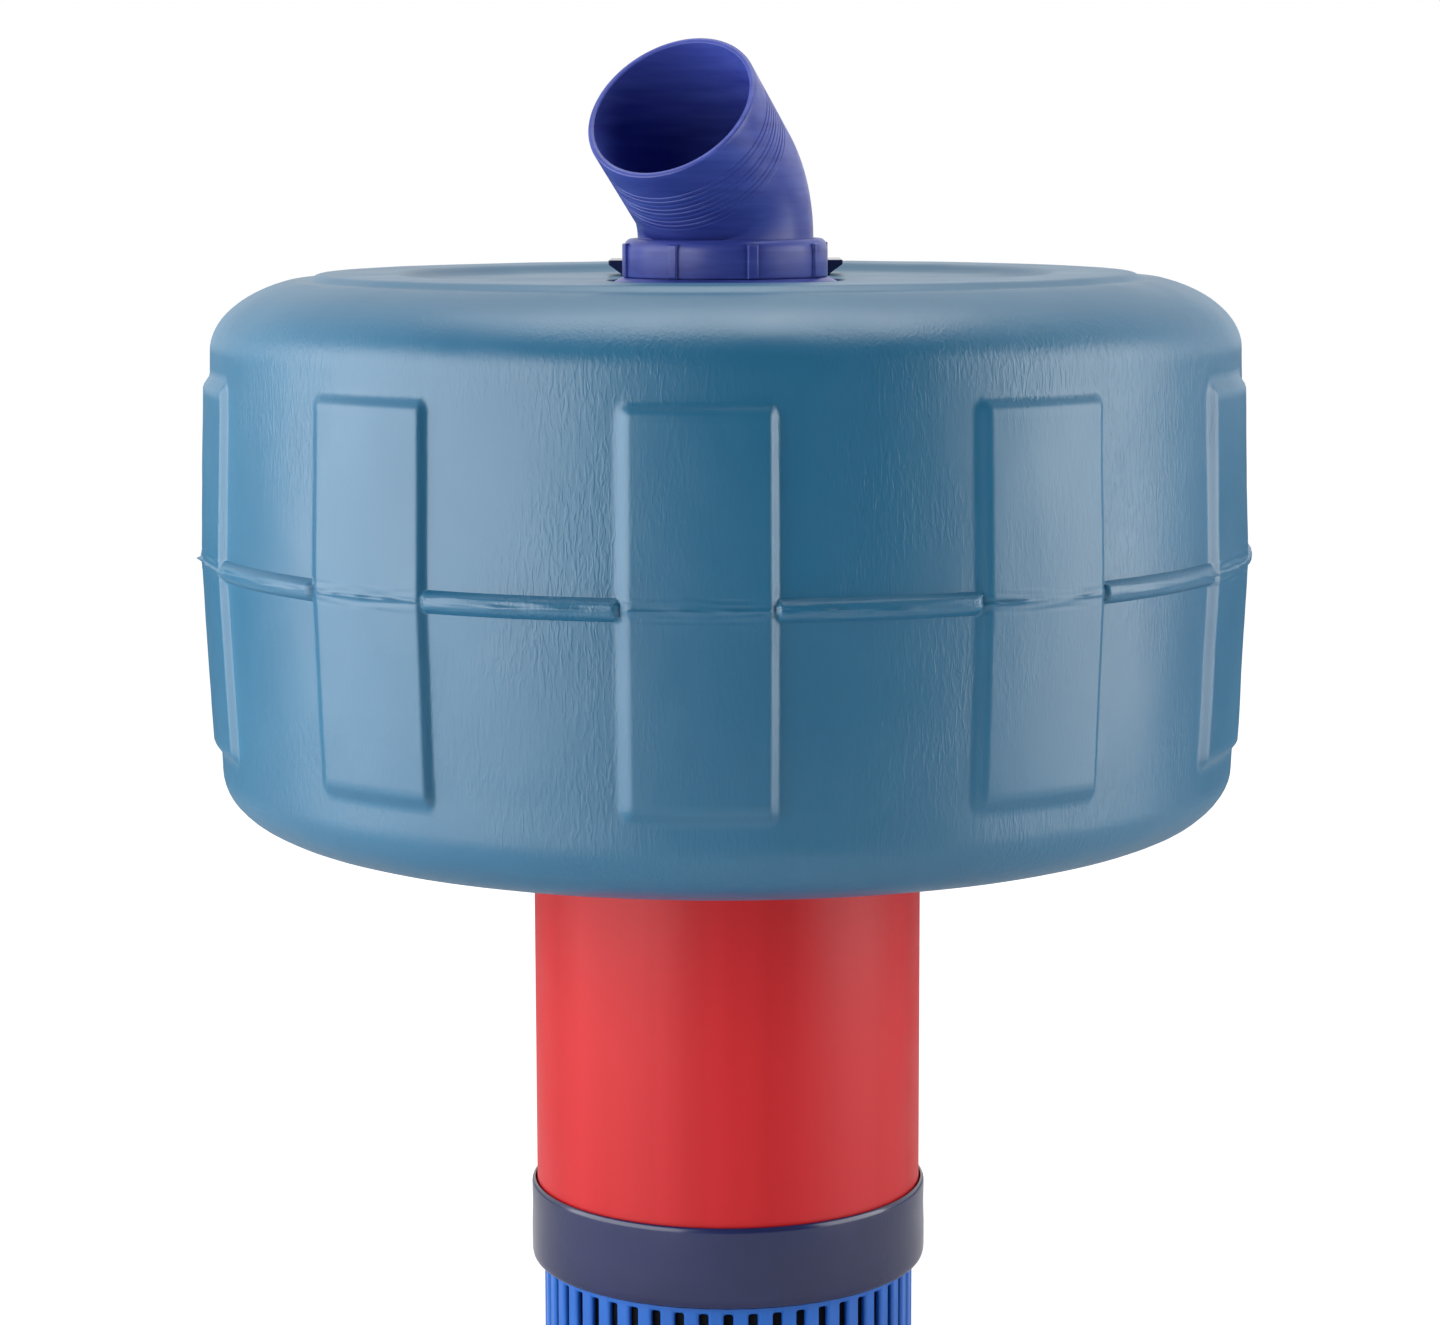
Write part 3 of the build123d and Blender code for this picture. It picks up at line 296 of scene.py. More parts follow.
def seal_rubber():
    """Black rubber with a dusty bloom."""
    finish = Finish("seal_rubber", 0.65, specular=0.3)
    finish.colour(finish.tones(finish.ranged(finish.cloud(120, 6), 0.45, 0.75), srgb(18, 18, 19), srgb(40, 40, 42)))
    finish.roughness(finish.cloud(200, 4), 0.58, 0.75)
    finish.bump(finish.cloud(1600, 3), 0.03, 0.8)
    return finish.material


def woven_mesh():
    """Near-black filter cloth with a fine weave."""
    finish = Finish("woven_mesh", 0.8, specular=0.1)
    finish.colour(finish.tones(finish.ranged(finish.cloud(60, 4), 0.35, 0.65), srgb(20, 21, 24), srgb(34, 35, 39)))
    finish.roughness(finish.cloud(200, 3), 0.75, 0.9)
    finish.bump(finish.cells(1600), 0.15, 0.8)
    return finish.material


finishes = {
    "screen_mesh": woven_mesh(),
    "float_plastic": float_skin(),
    "barrel_red": barrel_paint(),
    "collar_navy": moulded("collar_plastic", srgb(24, 30, 70), srgb(32, 40, 88), 0.2, 500, 0.012, 0.35, coat=0.3),
    "strainer_blue": moulded("strainer_plastic", srgb(24, 96, 190), srgb(36, 112, 208), 0.32, 900, 0.02),
    "outlet_violet": outlet_plastic(),
    "stainless": turned_metal("stainless_steel", srgb(176, 176, 174), 0.28),
    "cast_parts": cast_metal("motor_casting", srgb(66, 68, 72), srgb(96, 98, 102)),
    "pump_plastic": moulded("filled_plastic", srgb(30, 31, 34), srgb(44, 46, 49), 0.5, 700, 0.05),
    "seal_rubber": seal_rubber(),
    "seal_ceramic": moulded("ceramic", srgb(222, 220, 210), srgb(236, 234, 226), 0.2),
    "seal_carbon": moulded("carbon", srgb(40, 40, 42), srgb(58, 58, 60), 0.35),
    "winding_copper": wound_copper(),
    "core_steel": laminated_steel(),
    "wear_brass": turned_metal("wear_brass", srgb(190, 150, 82), 0.3),
    "ring_aluminium": turned_metal("ring_aluminium", srgb(190, 192, 194), 0.4),
}
for part in frame["record"]["subparts"]:
    mesh = nodes[part["node"]].data
    mesh.materials.clear()
    mesh.materials.append(finishes[part["material_slot"]])


# Shapes
def finished(name, bm, body, slot, replaced=(), edge=0.0, sharp=35.0, segments=2):
    """Close the mesh, smooth it, give it its finish and let it ride on its body."""
    bmesh.ops.remove_doubles(bm, verts=bm.verts, dist=0.002 * MM)
    bmesh.ops.recalc_face_normals(bm, faces=bm.faces)
    mesh = bpy.data.meshes.new(name)
    bm.to_mesh(mesh)
    bm.free()
    for polygon in mesh.polygons:
        polygon.use_smooth = True
    mesh.set_sharp_from_angle(angle=math.radians(sharp))
    mesh.materials.append(finishes[slot])
    piece = bpy.data.objects.new(name, mesh)
    bpy.context.scene.collection.objects.link(piece)
    if edge:
        rounding = piece.modifiers.new("rounded_edges", "BEVEL")
        rounding.width = edge * MM
        rounding.segments = segments
        rounding.limit_method = "ANGLE"
        rounding.angle_limit = math.radians(sharp)
        rounding.harden_normals = True
    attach(piece, body)
    if replaced:
        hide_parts(*replaced)
    return piece


def wire(bm, outline):
    """Draw a closed outline of (radius, height, rounding) corners on the XZ plane."""
    verts = [bm.verts.new((corner[0] * MM, 0, corner[1] * MM)) for corner in outline]
    for start, end in zip(verts, verts[1:] + verts[:1]):
        bm.edges.new((start, end))
    for vert, corner in zip(verts, outline):
        if len(corner) > 2:
            bmesh.ops.bevel(
                bm,
                geom=[vert],
                offset=corner[2] * MM,
                offset_type="OFFSET",
                segments=4,
                profile=0.5,
                affect="VERTICES",
                material=-1,
            )
    return bm.verts[:] + bm.edges[:]


def turned(outline, steps=192):
    """Turn a closed outline about the pump axis."""
    bm = bmesh.new()
    geom = wire(bm, outline)
    bmesh.ops.spin(bm, geom=geom, cent=(0, 0, 0), axis=UP, angle=math.tau, steps=steps, use_merge=True)
    return bm


def arc(centre, wide, high, start, stop, steps):
    """Points of an elliptical arc, as (radius, height)."""
    points = []
    for step in range(steps + 1):
        angle = math.radians(start + (stop - start) * step / steps)
        points.append((centre[0] + wide * math.cos(angle), centre[1] + high * math.sin(angle)))
    return points


def eased(value):
    """A smooth step from 0 to 1."""
    value = min(max(value, 0.0), 1.0)
    return value * value * (3 - 2 * value)


# Float
FLOAT_BOTTOM = float_box[0].z
SEAM = FLOAT_BOTTOM + 119.0
PLATEAU = float_box[1].z
PADS = 10
PAD_TURN = -2.67
PAD_LEFT = 32.6
PAD_RIGHT = 31.1
PAD_TOP = 79.0
PAD_BOTTOM = 83.0
LEFT_FLANK = 7.0
RIGHT_FLANK = 4.6
END_FLANK = 6.0
PAD_RELIEF = 3.0
WALL_R = 224.3
BEAD_HALF = 4.3
BEAD_RISE = 3.5


def wall_outline():
    """The float's outline from the nipple's hole over the shoulder to the well."""
    top_wall, low_wall = 221.8, 220.2
    ledge = PLATEAU - 2.75
    dish = PLATEAU - 3.5
    seat = dish - 4.6
    deck = dish - 12.2
    shoulder_turn = math.degrees(math.acos((188.0 - top_wall + 56.8) / 56.8))
    shoulder_z = ledge - 32.0 * math.sin(math.radians(shoulder_turn))
    outline = [(44.15, deck), (44.15, seat), (51.4, seat, 0.6), (51.4, dish, 1.0)]
    outline += [(70.0, dish), (100.0, dish), (136.0, dish, 3.0), (142.0, PLATEAU, 2.5)]
    outline += [(155.0, PLATEAU), (166.0, PLATEAU), (175.6, PLATEAU, 1.6), (180.0, ledge, 1.4)]
    outline += [(184.0, ledge)]
    outline += arc((top_wall - 56.8, shoulder_z), 56.8, 32.0, shoulder_turn, 0, 18)
    rows = [91, 87, 84, 81.5, 79, 77.5, 76, 74.5, 73, 70, 64, 56, 48, 40, 32, 25, 19, 14, 10, 7]
    rows += [5.4, 4.6, 3.9, 3.1, 2.2, 1.5, 0.9, 0.4, 0, -0.5, -1.0, -1.6, -2.3, -3.1, -3.9, -4.6, -5.4]
    rows += [-7, -10, -14, -19, -25, -32, -40, -48, -56, -64, -70, -74, -77, -78.5, -80, -81.5, -83, -85, -88]
    for row in rows:
        edge = top_wall if row > 0 else low_wall
        span = shoulder_z - SEAM if row > 0 else SEAM - FLOAT_BOTTOM - 27.1
        if abs(row) < span - 1:
            outline.append((WALL_R + (edge - WALL_R) * abs(row) / span, SEAM + row))
    outline += arc((low_wall - 41.4, FLOAT_BOTTOM + 27.1), 41.4, 27.1, 0, -90, 16)
    outline += [(160.0, FLOAT_BOTTOM), (130.0, FLOAT_BOTTOM), (93.0, FLOAT_BOTTOM, 3.0)]
    outline += [(86.4, FLOAT_BOTTOM + 7.0, 3.0), (86.4, SEAM), (86.4, deck)]
    return outline


def pad_share(across, rise):
    """How far a point of the wall lies up a pad's flank: 0 on the wall, 1 on the pad's face."""
    side = (across + PAD_LEFT) / LEFT_FLANK if across < 0 else (PAD_RIGHT - across) / RIGHT_FLANK
    end = (PAD_TOP - rise) / END_FLANK if rise > 0 else (rise + PAD_BOTTOM) / END_FLANK
    side, end = min(side, 1.0), min(end, 1.0)
    if side <= 0 or end <= 0:
        return 0.0
    return max(0.0, 1 - math.hypot(1 - side, 1 - end))


def bead_rise(rise):
    """Height of the moulding seam's bead above the wall."""
    share = abs(rise) / BEAD_HALF
    if share >= 1:
        return 0.0
    return BEAD_RISE * (1 - share ** 3) ** 0.8


def float_angles():
    """Turns of one pad's sector, closer together on the flanks."""
    left = [-18, -16.4, -14.8, -13.2, -11.8, -10.6, -9.7, -9.0, -8.6]
    flank = [-8.33, -8.1, -7.85, -7.55, -7.25, -6.95, -6.7, -6.5, -6.3]
    face = [-5.6, -4.6, -3.5, -2.3, -1.1, 0, 1.1, 2.3, 3.5, 4.6, 5.6, 6.1, 6.45, 6.7]
    far = [6.9, 7.1, 7.3, 7.5, 7.7, 7.88, 8.06, 8.3, 8.7, 9.3, 10.2, 11.4, 12.9, 14.6, 16.3, 18]
    return left + flank + face + far


def build_float():
    bm = bmesh.new()
    last = wire(bm, wall_outline())
    turns = float_angles()
    front = math.radians(PAD_TURN - 90)
    bmesh.ops.rotate(bm, verts=bm.verts, cent=(0, 0, 0), matrix=Matrix.Rotation(front + math.radians(turns[0]), 3, "Z"))
    for start, end in zip(turns, turns[1:]):
        spun = bmesh.ops.spin(
            bm, geom=last, cent=(0, 0, 0), axis=UP, angle=math.radians(end - start), steps=1, use_merge=False
        )
        last = spun["geom_last"]
    for vert in bm.verts:
        radius = math.hypot(vert.co.x, vert.co.y) / MM
        rise = vert.co.z / MM - SEAM
        if radius < 190 or rise < -100:
            continue
        turn = math.atan2(vert.co.y, vert.co.x) - front
        share = pad_share(turn * WALL_R, rise)
        bead = bead_rise(rise) * (1 - eased(share * 1.3))
        lift = max(PAD_RELIEF * eased(share), bead)
        if share > 0.9:
            lift += 0.3 * max(0.0, 1 - abs(rise) / 0.9)
        scale = (radius + lift) / radius
        vert.co.x *= scale
        vert.co.y *= scale
    whole = bm.verts[:] + bm.edges[:] + bm.faces[:]
    bmesh.ops.spin(
        bm,
        geom=whole,
        cent=(0, 0, 0),
        axis=UP,
        angle=math.tau * (PADS - 1) / PADS,
        steps=PADS - 1,
        use_duplicate=True,
    )
    bmesh.ops.remove_doubles(bm, verts=bm.verts, dist=0.01 * MM)
    for vert in bm.verts:
        radius = math.hypot(vert.co.x, vert.co.y) / MM
        if radius < 100:
            continue
        rise = vert.co.z / MM - SEAM
        out = Vector((vert.co.x, vert.co.y, 0)).normalized()
        wave = 0.35 * noise.noise(vert.co * 28) + 0.12 * noise.noise(vert.co * 90)
        if radius > 200 and abs(rise) < BEAD_HALF:
            along = out * 9
            wander = 1.0 * noise.noise(along * 1.7)
            fold = noise.noise(Vector((along.x * 2.2, along.y * 2.2, rise * 0.9)))
            wave += 0.45 * fold
            on_bead = max(0.0, 1 - abs(rise - wander) / 1.2)
            flash = max(0.0, noise.noise(along * 4.0 + Vector((7, 3, 1))) - 0.12)
            if radius > WALL_R + 3.1:
                wave += min(on_bead * flash * 4.5, 1.6)
        if vert.co.z / MM > PLATEAU - 4 or vert.co.z / MM < FLOAT_BOTTOM + 0.5:
            vert.co.z += -0.25 * MM * abs(noise.noise(vert.co * 20))
            continue
        vert.co += out * wave * MM
        limit = 229.9 * MM
        reach = math.hypot(vert.co.x, vert.co.y)
        if reach > limit:
            vert.co.x *= limit / reach
            vert.co.y *= limit / reach
    piece = finished("float_body", bm, "pump_body", "float_plastic", ["float_shell"], sharp=50)
    skin = piece.data.attributes.new("skin", "FLOAT", "POINT")
    values = []
    for vert in piece.data.vertices:
        radius = math.hypot(vert.co.x, vert.co.y) / MM
        rise = vert.co.z / MM - SEAM
        turn = (math.degrees(math.atan2(vert.co.y, vert.co.x)) + 90 - PAD_TURN + 18) % 36 - 18
        on_pad = pad_share(math.radians(turn) * WALL_R, rise) if radius > 200 else 0.0
        upright = eased((radius - 205) / 12)
        values.append(0.25 + 0.75 * upright * (1 - 0.75 * eased(on_pad)))
    skin.data.foreach_set("value", values)
    return piece


build_float()


# Barrel, collar and strainer
def build_barrel():
    low, high = barrel_box[0].z, barrel_box[1].z
    outline = [(81.35, low), (85.35, low)]
    steps = 12
    outline += [(85.35, low + (high - low) * step / steps) for step in range(1, steps)]
    outline += [(85.35, high), (81.35, high)]
    finished("barrel_tube", turned(outline), "pump_body", "barrel_red", ["barrel"], edge=0.4)


def build_collar():
    low, high = collar_box[0].z, collar_box[1].z
    outline = [
        (85.9, low, 0.5),
        (87.2, low + 1.0, 0.8),
        (87.8, low + 3.2, 1.2),
        (87.8, low + 14.0),
        (87.55, high - 12.0),
        (87.7, high - 1.4, 0.9),
        (86.9, high, 0.5),
        (86.1, high, 0.35),
        (85.5, high - 2.2, 0.5),
        (85.5, low + 16.0),
        (72.0, low + 16.0, 0.6),
        (72.0, low + 8.0, 0.6),
        (82.6, low + 8.0),
        (82.6, low, 0.5),
    ]
    finished("collar_ring", turned(outline), "pump_body", "collar_navy", ["lower_collar"])


SLOTS = 48
SLOT_HALF = 2.1


def build_strainer():
    """A slotted cup: wall panels between the slots are cut out of a turned wall."""
    low, high = basket_box[0].z, basket_box[1].z
    outer, wall, base = 82.4, 3.6, 5.0
    rows = [low + 12.0, low + 55.7, low + 62.7, low + 106.4]
    bm = bmesh.new()
    heights = [low + base + 2.0, rows[0], rows[1], rows[2], rows[3], high]
    verts = [bm.verts.new((outer * MM, 0, height * MM)) for height in heights]
    edges = [bm.edges.new(pair) for pair in zip(verts, verts[1:])]
    pitch = math.tau / SLOTS
    half = SLOT_HALF / outer
    bmesh.ops.rotate(bm, verts=verts, cent=(0, 0, 0), matrix=Matrix.Rotation(-half, 3, "Z"))
    last = verts + edges
    for angle in (2 * half, (pitch - 2 * half) / 4, (pitch - 2 * half) / 4, (pitch - 2 * half) / 4, (pitch - 2 * half) / 4):
        spun = bmesh.ops.spin(bm, geom=last, cent=(0, 0, 0), axis=UP, angle=angle, steps=1, use_merge=False)
        last = spun["geom_last"]
    open_faces = []
    for face in bm.faces:
        centre = face.calc_center_median()
        turn = math.atan2(centre.y, centre.x)
        height = centre.z / MM
        if abs(turn) < half and (rows[0] < height < rows[1] or rows[2] < height < rows[3]):
            open_faces.append(face)
    bmesh.ops.delete(bm, geom=open_faces, context="FACES_ONLY")
    bmesh.ops.spin(
        bm,
        geom=bm.verts[:] + bm.edges[:] + bm.faces[:],
        cent=(0, 0, 0),
        axis=UP,
        angle=math.tau * (SLOTS - 1) / SLOTS,
        steps=SLOTS - 1,
        use_duplicate=True,
    )
    bmesh.ops.remove_doubles(bm, verts=bm.verts, dist=0.02 * MM)
    bmesh.ops.recalc_face_normals(bm, faces=bm.faces)
    centre = bm.faces[:][0].calc_center_median()
    if bm.faces[:][0].normal.dot(Vector((centre.x, centre.y, 0))) < 0:
        bmesh.ops.reverse_faces(bm, faces=bm.faces)
    bmesh.ops.solidify(bm, geom=bm.faces[:], thickness=wall * MM)
    bm.normal_update()
    slot_edges = []
    for edge in bm.edges:
        middle = (edge.verts[0].co + edge.verts[1].co) / 2
        if not rows[0] - 1 < middle.z / MM < rows[3] + 1 or len(edge.link_faces) != 2:
            continue
        if edge.calc_face_angle(0) > math.radians(50):
            slot_edges.append(edge)
    bmesh.ops.bevel(
        bm,
        geom=slot_edges,
        offset=1.3 * MM,
        offset_type="OFFSET",
        segments=3,
        profile=0.5,
        affect="EDGES",
        clamp_overlap=True,
        material=-1,
    )
    finished("strainer_wall", bm, "pump_body", "strainer_blue", ["strainer_basket"], sharp=60)
    floor = [
        (0.05, low),
        (26.0, low),
        (30.0, low),
        (66.0, low),
        (outer - 3.6, low, 1.0),
        (outer, low + 3.6, 2.0),
        (outer, low + base + 2.0),
        (outer - wall, low + base + 2.0),
        (outer - wall, low + base, 1.2),
        (66.0, low + base),
        (30.0, low + base),
        (26.0, low + base),
        (0.05, low + base),
    ]
    bm = turned(floor, 96)
    open_faces = []
    for face in bm.faces:
        centre = face.calc_center_median()
        radius = math.hypot(centre.x, centre.y) / MM
        turn = (math.degrees(math.atan2(centre.y, centre.x)) + 15) % 30 - 15
        if 30.0 < radius < 66.0 and abs(turn) < 2.5:
            open_faces.append(face)
    bmesh.ops.delete(bm, geom=open_faces, context="FACES")
    rims = [edge for edge in bm.edges if edge.is_boundary]
    sides = {}
    for edge in rims:
        middle = (edge.verts[0].co + edge.verts[1].co) / 2
        sides.setdefault(round(math.degrees(math.atan2(middle.y, middle.x)) / 30) % 12, []).append(edge)
    for loop in sides.values():
        bmesh.ops.bridge_loops(bm, edges=loop)
    finished("strainer_floor", bm, "pump_body", "strainer_blue", edge=0.5, sharp=40)


build_barrel()
build_collar()
build_strainer()


# Outlet: nipple flange, union nut and elbow
HEADING = Vector((-math.sin(math.radians(28.1)), -math.cos(math.radians(28.1)), 0))
SIDE = UP.cross(HEADING)
TILT = math.radians(50.5)
BEND_R = 33.0
SPIGOT = 47.0
NUT_TOP = nut_box[1].z
NUT_LOW = nut_box[0].z
SPIGOT_DIR = HEADING * math.sin(TILT) + UP * math.cos(TILT)


def build_nipple():
    low, high = nipple_box[0].z, nipple_box[1].z
    flange = high - 10.5
    outline = [
        (35.0, low),
        (44.0, low),
        (44.0, flange),
        (50.4, flange, 0.3),
        (50.4, flange + 1.2, 0.6),
        (46.6, flange + 3.4, 1.2),
        (45.0, flange + 4.3),
        (41.3, flange + 4.3),
        (41.3, high, 0.3),
        (39.6, high),
        (39.6, high - 1.6),
        (36.4, high - 1.6),
        (36.4, high),
        (35.0, high, 0.3),
    ]
    finished("nipple_flange", turned(outline), "pump_body", "outlet_violet", ["outlet_nipple"])


def build_nut():
    shoulder = 4.2
    outline = [
        (41.6, NUT_LOW, 0.3),
        (44.2, NUT_LOW, 0.6),
        (44.2, NUT_TOP - shoulder, 1.4),
        (43.1, NUT_TOP - 1.5, 1.0),
        (41.3, NUT_TOP - 0.2, 0.7),
        (39.9, NUT_TOP - 0.9, 0.4),
        (38.5, NUT_TOP - 3.4, 0.3),
        (38.5, NUT_LOW + 9.9),
        (41.6, NUT_LOW + 9.9),
    ]
    bm = turned(outline)
    for rib in range(8):
        turn = math.radians(15 - 90 + 45 * rib)
        made = bmesh.ops.create_cube(bm, size=1)["verts"]
        height = NUT_TOP - 2.2 - NUT_LOW
        bmesh.ops.scale(bm, verts=made, vec=(3.2 * MM, 4.8 * MM, height * MM))
        bmesh.ops.translate(bm, verts=made, vec=(44.0 * MM, 0, (NUT_LOW + height / 2) * MM))
        edges = [edge for edge in bm.edges if edge.verts[0] in made and edge.verts[1] in made]
        edges = [edge for edge in edges if (edge.verts[0].co.x + edge.verts[1].co.x) / 2 > 44.5 * MM]
        cut = bmesh.ops.bevel(
            bm,
            geom=edges,
            offset=1.0 * MM,
            offset_type="OFFSET",
            segments=4,
            profile=0.5,
            affect="EDGES",
            material=-1,
        )
        made = list({vert for vert in made if vert.is_valid} | set(cut["verts"]))
        bmesh.ops.rotate(bm, verts=made, cent=(0, 0, 0), matrix=Matrix.Rotation(turn, 3, "Z"))
    finished("union_ring", bm, "nut", "outlet_violet", ["union_nut"])


def elbow_rings(radius, from_mouth, top):
    """Places of the elbow's rings: each is an origin, an outward side, a radius and whether it is cut at the bend's axis."""
    rings = []
    rings.append((UP * top, HEADING, radius, False))
    rings.append((UP * (NUT_TOP - 0.01), HEADING, radius, False))
    steps = 14
    for step in range(steps + 1):
        turn = TILT * step / steps
        centre = HEADING * BEND_R * (1 - math.cos(turn)) + UP * (NUT_TOP + BEND_R * math.sin(turn))
        out = HEADING * math.cos(turn) - UP * math.sin(turn)
        rings.append((centre, out, radius, True))
    centre = HEADING * BEND_R * (1 - math.cos(TILT)) + UP * (NUT_TOP + BEND_R * math.sin(TILT))
    out = HEADING * math.cos(TILT) - UP * math.sin(TILT)
    rings.append((centre + SPIGOT_DIR * 0.01, out, radius, False))
    for distance, change in from_mouth:
        rings.append((centre + SPIGOT_DIR * (SPIGOT - distance), out, radius + change, False))
    return rings


def grooves():
    """Fine grip rings on the spigot, as (distance from the mouth, change of radius)."""
    steps = [(36.5, 0.0)]
    for ring in range(9):
        start = 35.0 - ring * 2.6
        deep = 0.32 if ring % 3 else 0.22
        steps += [(start, 0.0), (start - 0.35, -deep), (start - 1.0, -deep), (start - 1.35, 0.0)]
    steps += [(8.0, 0.0), (3.0, 0.0), (1.2, 0.0), (0.45, -0.2), (0.1, -0.6), (0.0, -1.1)]
    return steps


def build_elbow():
    bm = bmesh.new()
    segments = 168
    collar = elbow_box[0].z
    outside = [(UP * collar, HEADING, 38.6, False), (UP * collar, HEADING, 41.2, False)]
    outside += [(UP * (collar + 3.5), HEADING, 41.2, False), (UP * (collar + 3.5), HEADING, 38.0, False)]
    outside += elbow_rings(38.0, grooves(), collar + 3.6)
    inside = elbow_rings(35.0, [(1.2, 0.0), (0.4, 0.25), (0.0, 0.9)], collar)
    rings = outside + inside[::-1]
    loop = bmesh.ops.create_circle(bm, segments=segments, radius=1, cap_ends=False)["verts"]
    flat = [vert.co.copy() for vert in loop]
    edges = [edge for edge in bm.edges]
    first_edges = edges

    def lay(verts, ring):
        centre, out, radius, cut = ring
        for vert, unit in zip(verts, flat):
            reach = unit.x * radius
            if cut:
                reach = min(reach, BEND_R)
            vert.co = (centre + out * reach + SIDE * unit.y * radius) * MM

    lay(loop, rings[0])
    verts = loop
    for ring in rings[1:]:
        grown = bmesh.ops.extrude_edge_only(bm, edges=edges)["geom"]
        fresh = {vert for vert in grown if isinstance(vert, bmesh.types.BMVert)}
        edges = [edge for edge in grown if isinstance(edge, bmesh.types.BMEdge) and set(edge.verts) <= fresh]
        follow = []
        for vert in verts:
            for edge in vert.link_edges:
                other = edge.other_vert(vert)
                if other in fresh:
                    follow.append(other)
                    break
        verts = follow
        lay(verts, ring)
    bmesh.ops.bridge_loops(bm, edges=edges + first_edges)
    bmesh.ops.remove_doubles(bm, verts=bm.verts, dist=0.005 * MM)
    line = 5.4
    for offset in (line - 0.45, line, line + 0.45):
        bmesh.ops.bisect_plane(
            bm,
            geom=bm.verts[:] + bm.edges[:] + bm.faces[:],
            dist=0.001 * MM,
            plane_co=SIDE * -offset * MM,
            plane_no=SIDE,
        )
    centre_line = UP * NUT_TOP * MM
    for vert in bm.verts:
        if abs(vert.co.dot(SIDE) + line * MM) > 0.02 * MM or vert.co.z < (NUT_TOP + 0.5) * MM:
            continue
        along = (vert.co - centre_line).dot(SPIGOT_DIR)
        nearest = centre_line + SPIGOT_DIR * along
        outward = vert.co - nearest
        if outward.length > 36.9 * MM and outward.dot(HEADING) > 0:
            vert.co += outward.normalized() * 0.28 * MM
    finished("elbow_pipe", bm, "elbow", "outlet_violet", ["outlet_elbow"], sharp=32)


build_nipple()
build_nut()
build_elbow()


# Cable entry behind the outlet
def build_entry():
    low, high = entry_box
    plate_top = low.z + 7.0
    outline = [
        (low.x + 5.5, low.z),
        (high.x - 5.5, low.z),
        (high.x - 5.5, low.z + 1.0),
        (high.x, plate_top - 2.0),
        (high.x, plate_top),
        (low.x, plate_top),
        (low.x, plate_top - 2.0),
        (low.x + 5.5, low.z + 1.0),
    ]
    bm = bmesh.new()
    verts = [bm.verts.new((x * MM, low.y * MM, z * MM)) for x, z in outline]
    face = bm.faces.new(verts)
    grown = bmesh.ops.extrude_face_region(bm, geom=[face])["geom"]
    moved = [vert for vert in grown if isinstance(vert, bmesh.types.BMVert)]
    bmesh.ops.translate(bm, verts=moved, vec=(0, (high.y - low.y) * MM, 0))
    block = bmesh.ops.create_cube(bm, size=1)["verts"]
    rise = high.z - plate_top + 1.0
    bmesh.ops.scale(bm, verts=block, vec=(30 * MM, 24 * MM, rise * MM))
    bmesh.ops.translate(bm, verts=block, vec=(0, (high.y - 12) * MM, (high.z - rise / 2) * MM))
    upright = []
    for edge in bm.edges:
        if edge.verts[0] in block and edge.verts[1] in block and abs(edge.verts[0].co.z - edge.verts[1].co.z) > MM:
            upright.append(edge)
    bmesh.ops.bevel(
        bm, geom=upright, offset=5 * MM, offset_type="OFFSET", segments=6, profile=0.5, affect="EDGES", material=-1
    )
    finished("entry_plate", bm, "pump_body", "collar_navy", ["cable_entry"], edge=0.9, sharp=30, segments=3)


def build_gland():
    low, high = gland_box
    axis_z = (low.z + high.z) / 2
    nut_low, nut_high = gland_nut_box
    bm = bmesh.new()
    made = bmesh.ops.create_circle(bm, segments=6, radius=11.547 * MM, cap_ends=False)["verts"]
    turn = Matrix.Rotation(math.pi / 2, 3, "X")
    bmesh.ops.rotate(bm, verts=made, cent=(0, 0, 0), matrix=Matrix.Rotation(math.pi / 6, 3, "Z"))
    inner = bmesh.ops.create_circle(bm, segments=6, radius=8.2 * MM, cap_ends=False)["verts"]
    bmesh.ops.rotate(bm, verts=inner, cent=(0, 0, 0), matrix=Matrix.Rotation(math.pi / 6, 3, "Z"))
    bmesh.ops.bridge_loops(bm, edges=bm.edges[:])
    bmesh.ops.rotate(bm, verts=bm.verts, cent=(0, 0, 0), matrix=turn)
    bmesh.ops.translate(bm, verts=bm.verts, vec=(0, 90 * MM, axis_z * MM))
    grown = bmesh.ops.extrude_face_region(bm, geom=bm.faces[:])["geom"]
    moved = [vert for vert in grown if isinstance(vert, bmesh.types.BMVert)]
    bmesh.ops.translate(bm, verts=moved, vec=(0, 6 * MM, 0))
    finished("gland_hexagon", bm, "pump_body", "pump_plastic", edge=0.5)
    bm = turned_on_y([(5.0, 82.2), (7.9, 82.2), (7.9, 103.9), (5.0, 103.9)], axis_z, 64)
    finished("gland_thread", bm, "pump_body", "pump_plastic", ["cable_gland"], edge=0.3)
    outline = [(8.1, nut_low.y + 0.1), (11.4, nut_low.y + 0.1, 0.6), (11.2, nut_low.y + 9), (9.6, nut_high.y - 1.6, 2.0)]
    outline += [(7.6, nut_high.y, 0.8), (5.0, nut_high.y, 0.6), (5.0, nut_high.y - 3.0), (8.1, nut_high.y - 3.0)]
    bm = turned_on_y(outline, axis_z, 72)
    for vert in bm.verts:
        local = Vector((vert.co.x, 0, vert.co.z - axis_z * MM))
        turn_now = math.atan2(local.z, local.x)
        if local.length > 9.0 * MM:
            groove = 0.5 + 0.5 * math.cos(turn_now * 12)
            vert.co.x *= 1 - 0.05 * groove
            vert.co.z = axis_z * MM + (vert.co.z - axis_z * MM) * (1 - 0.05 * groove)
    finished("gland_cap", bm, "pump_body", "pump_plastic", ["gland_nut"])


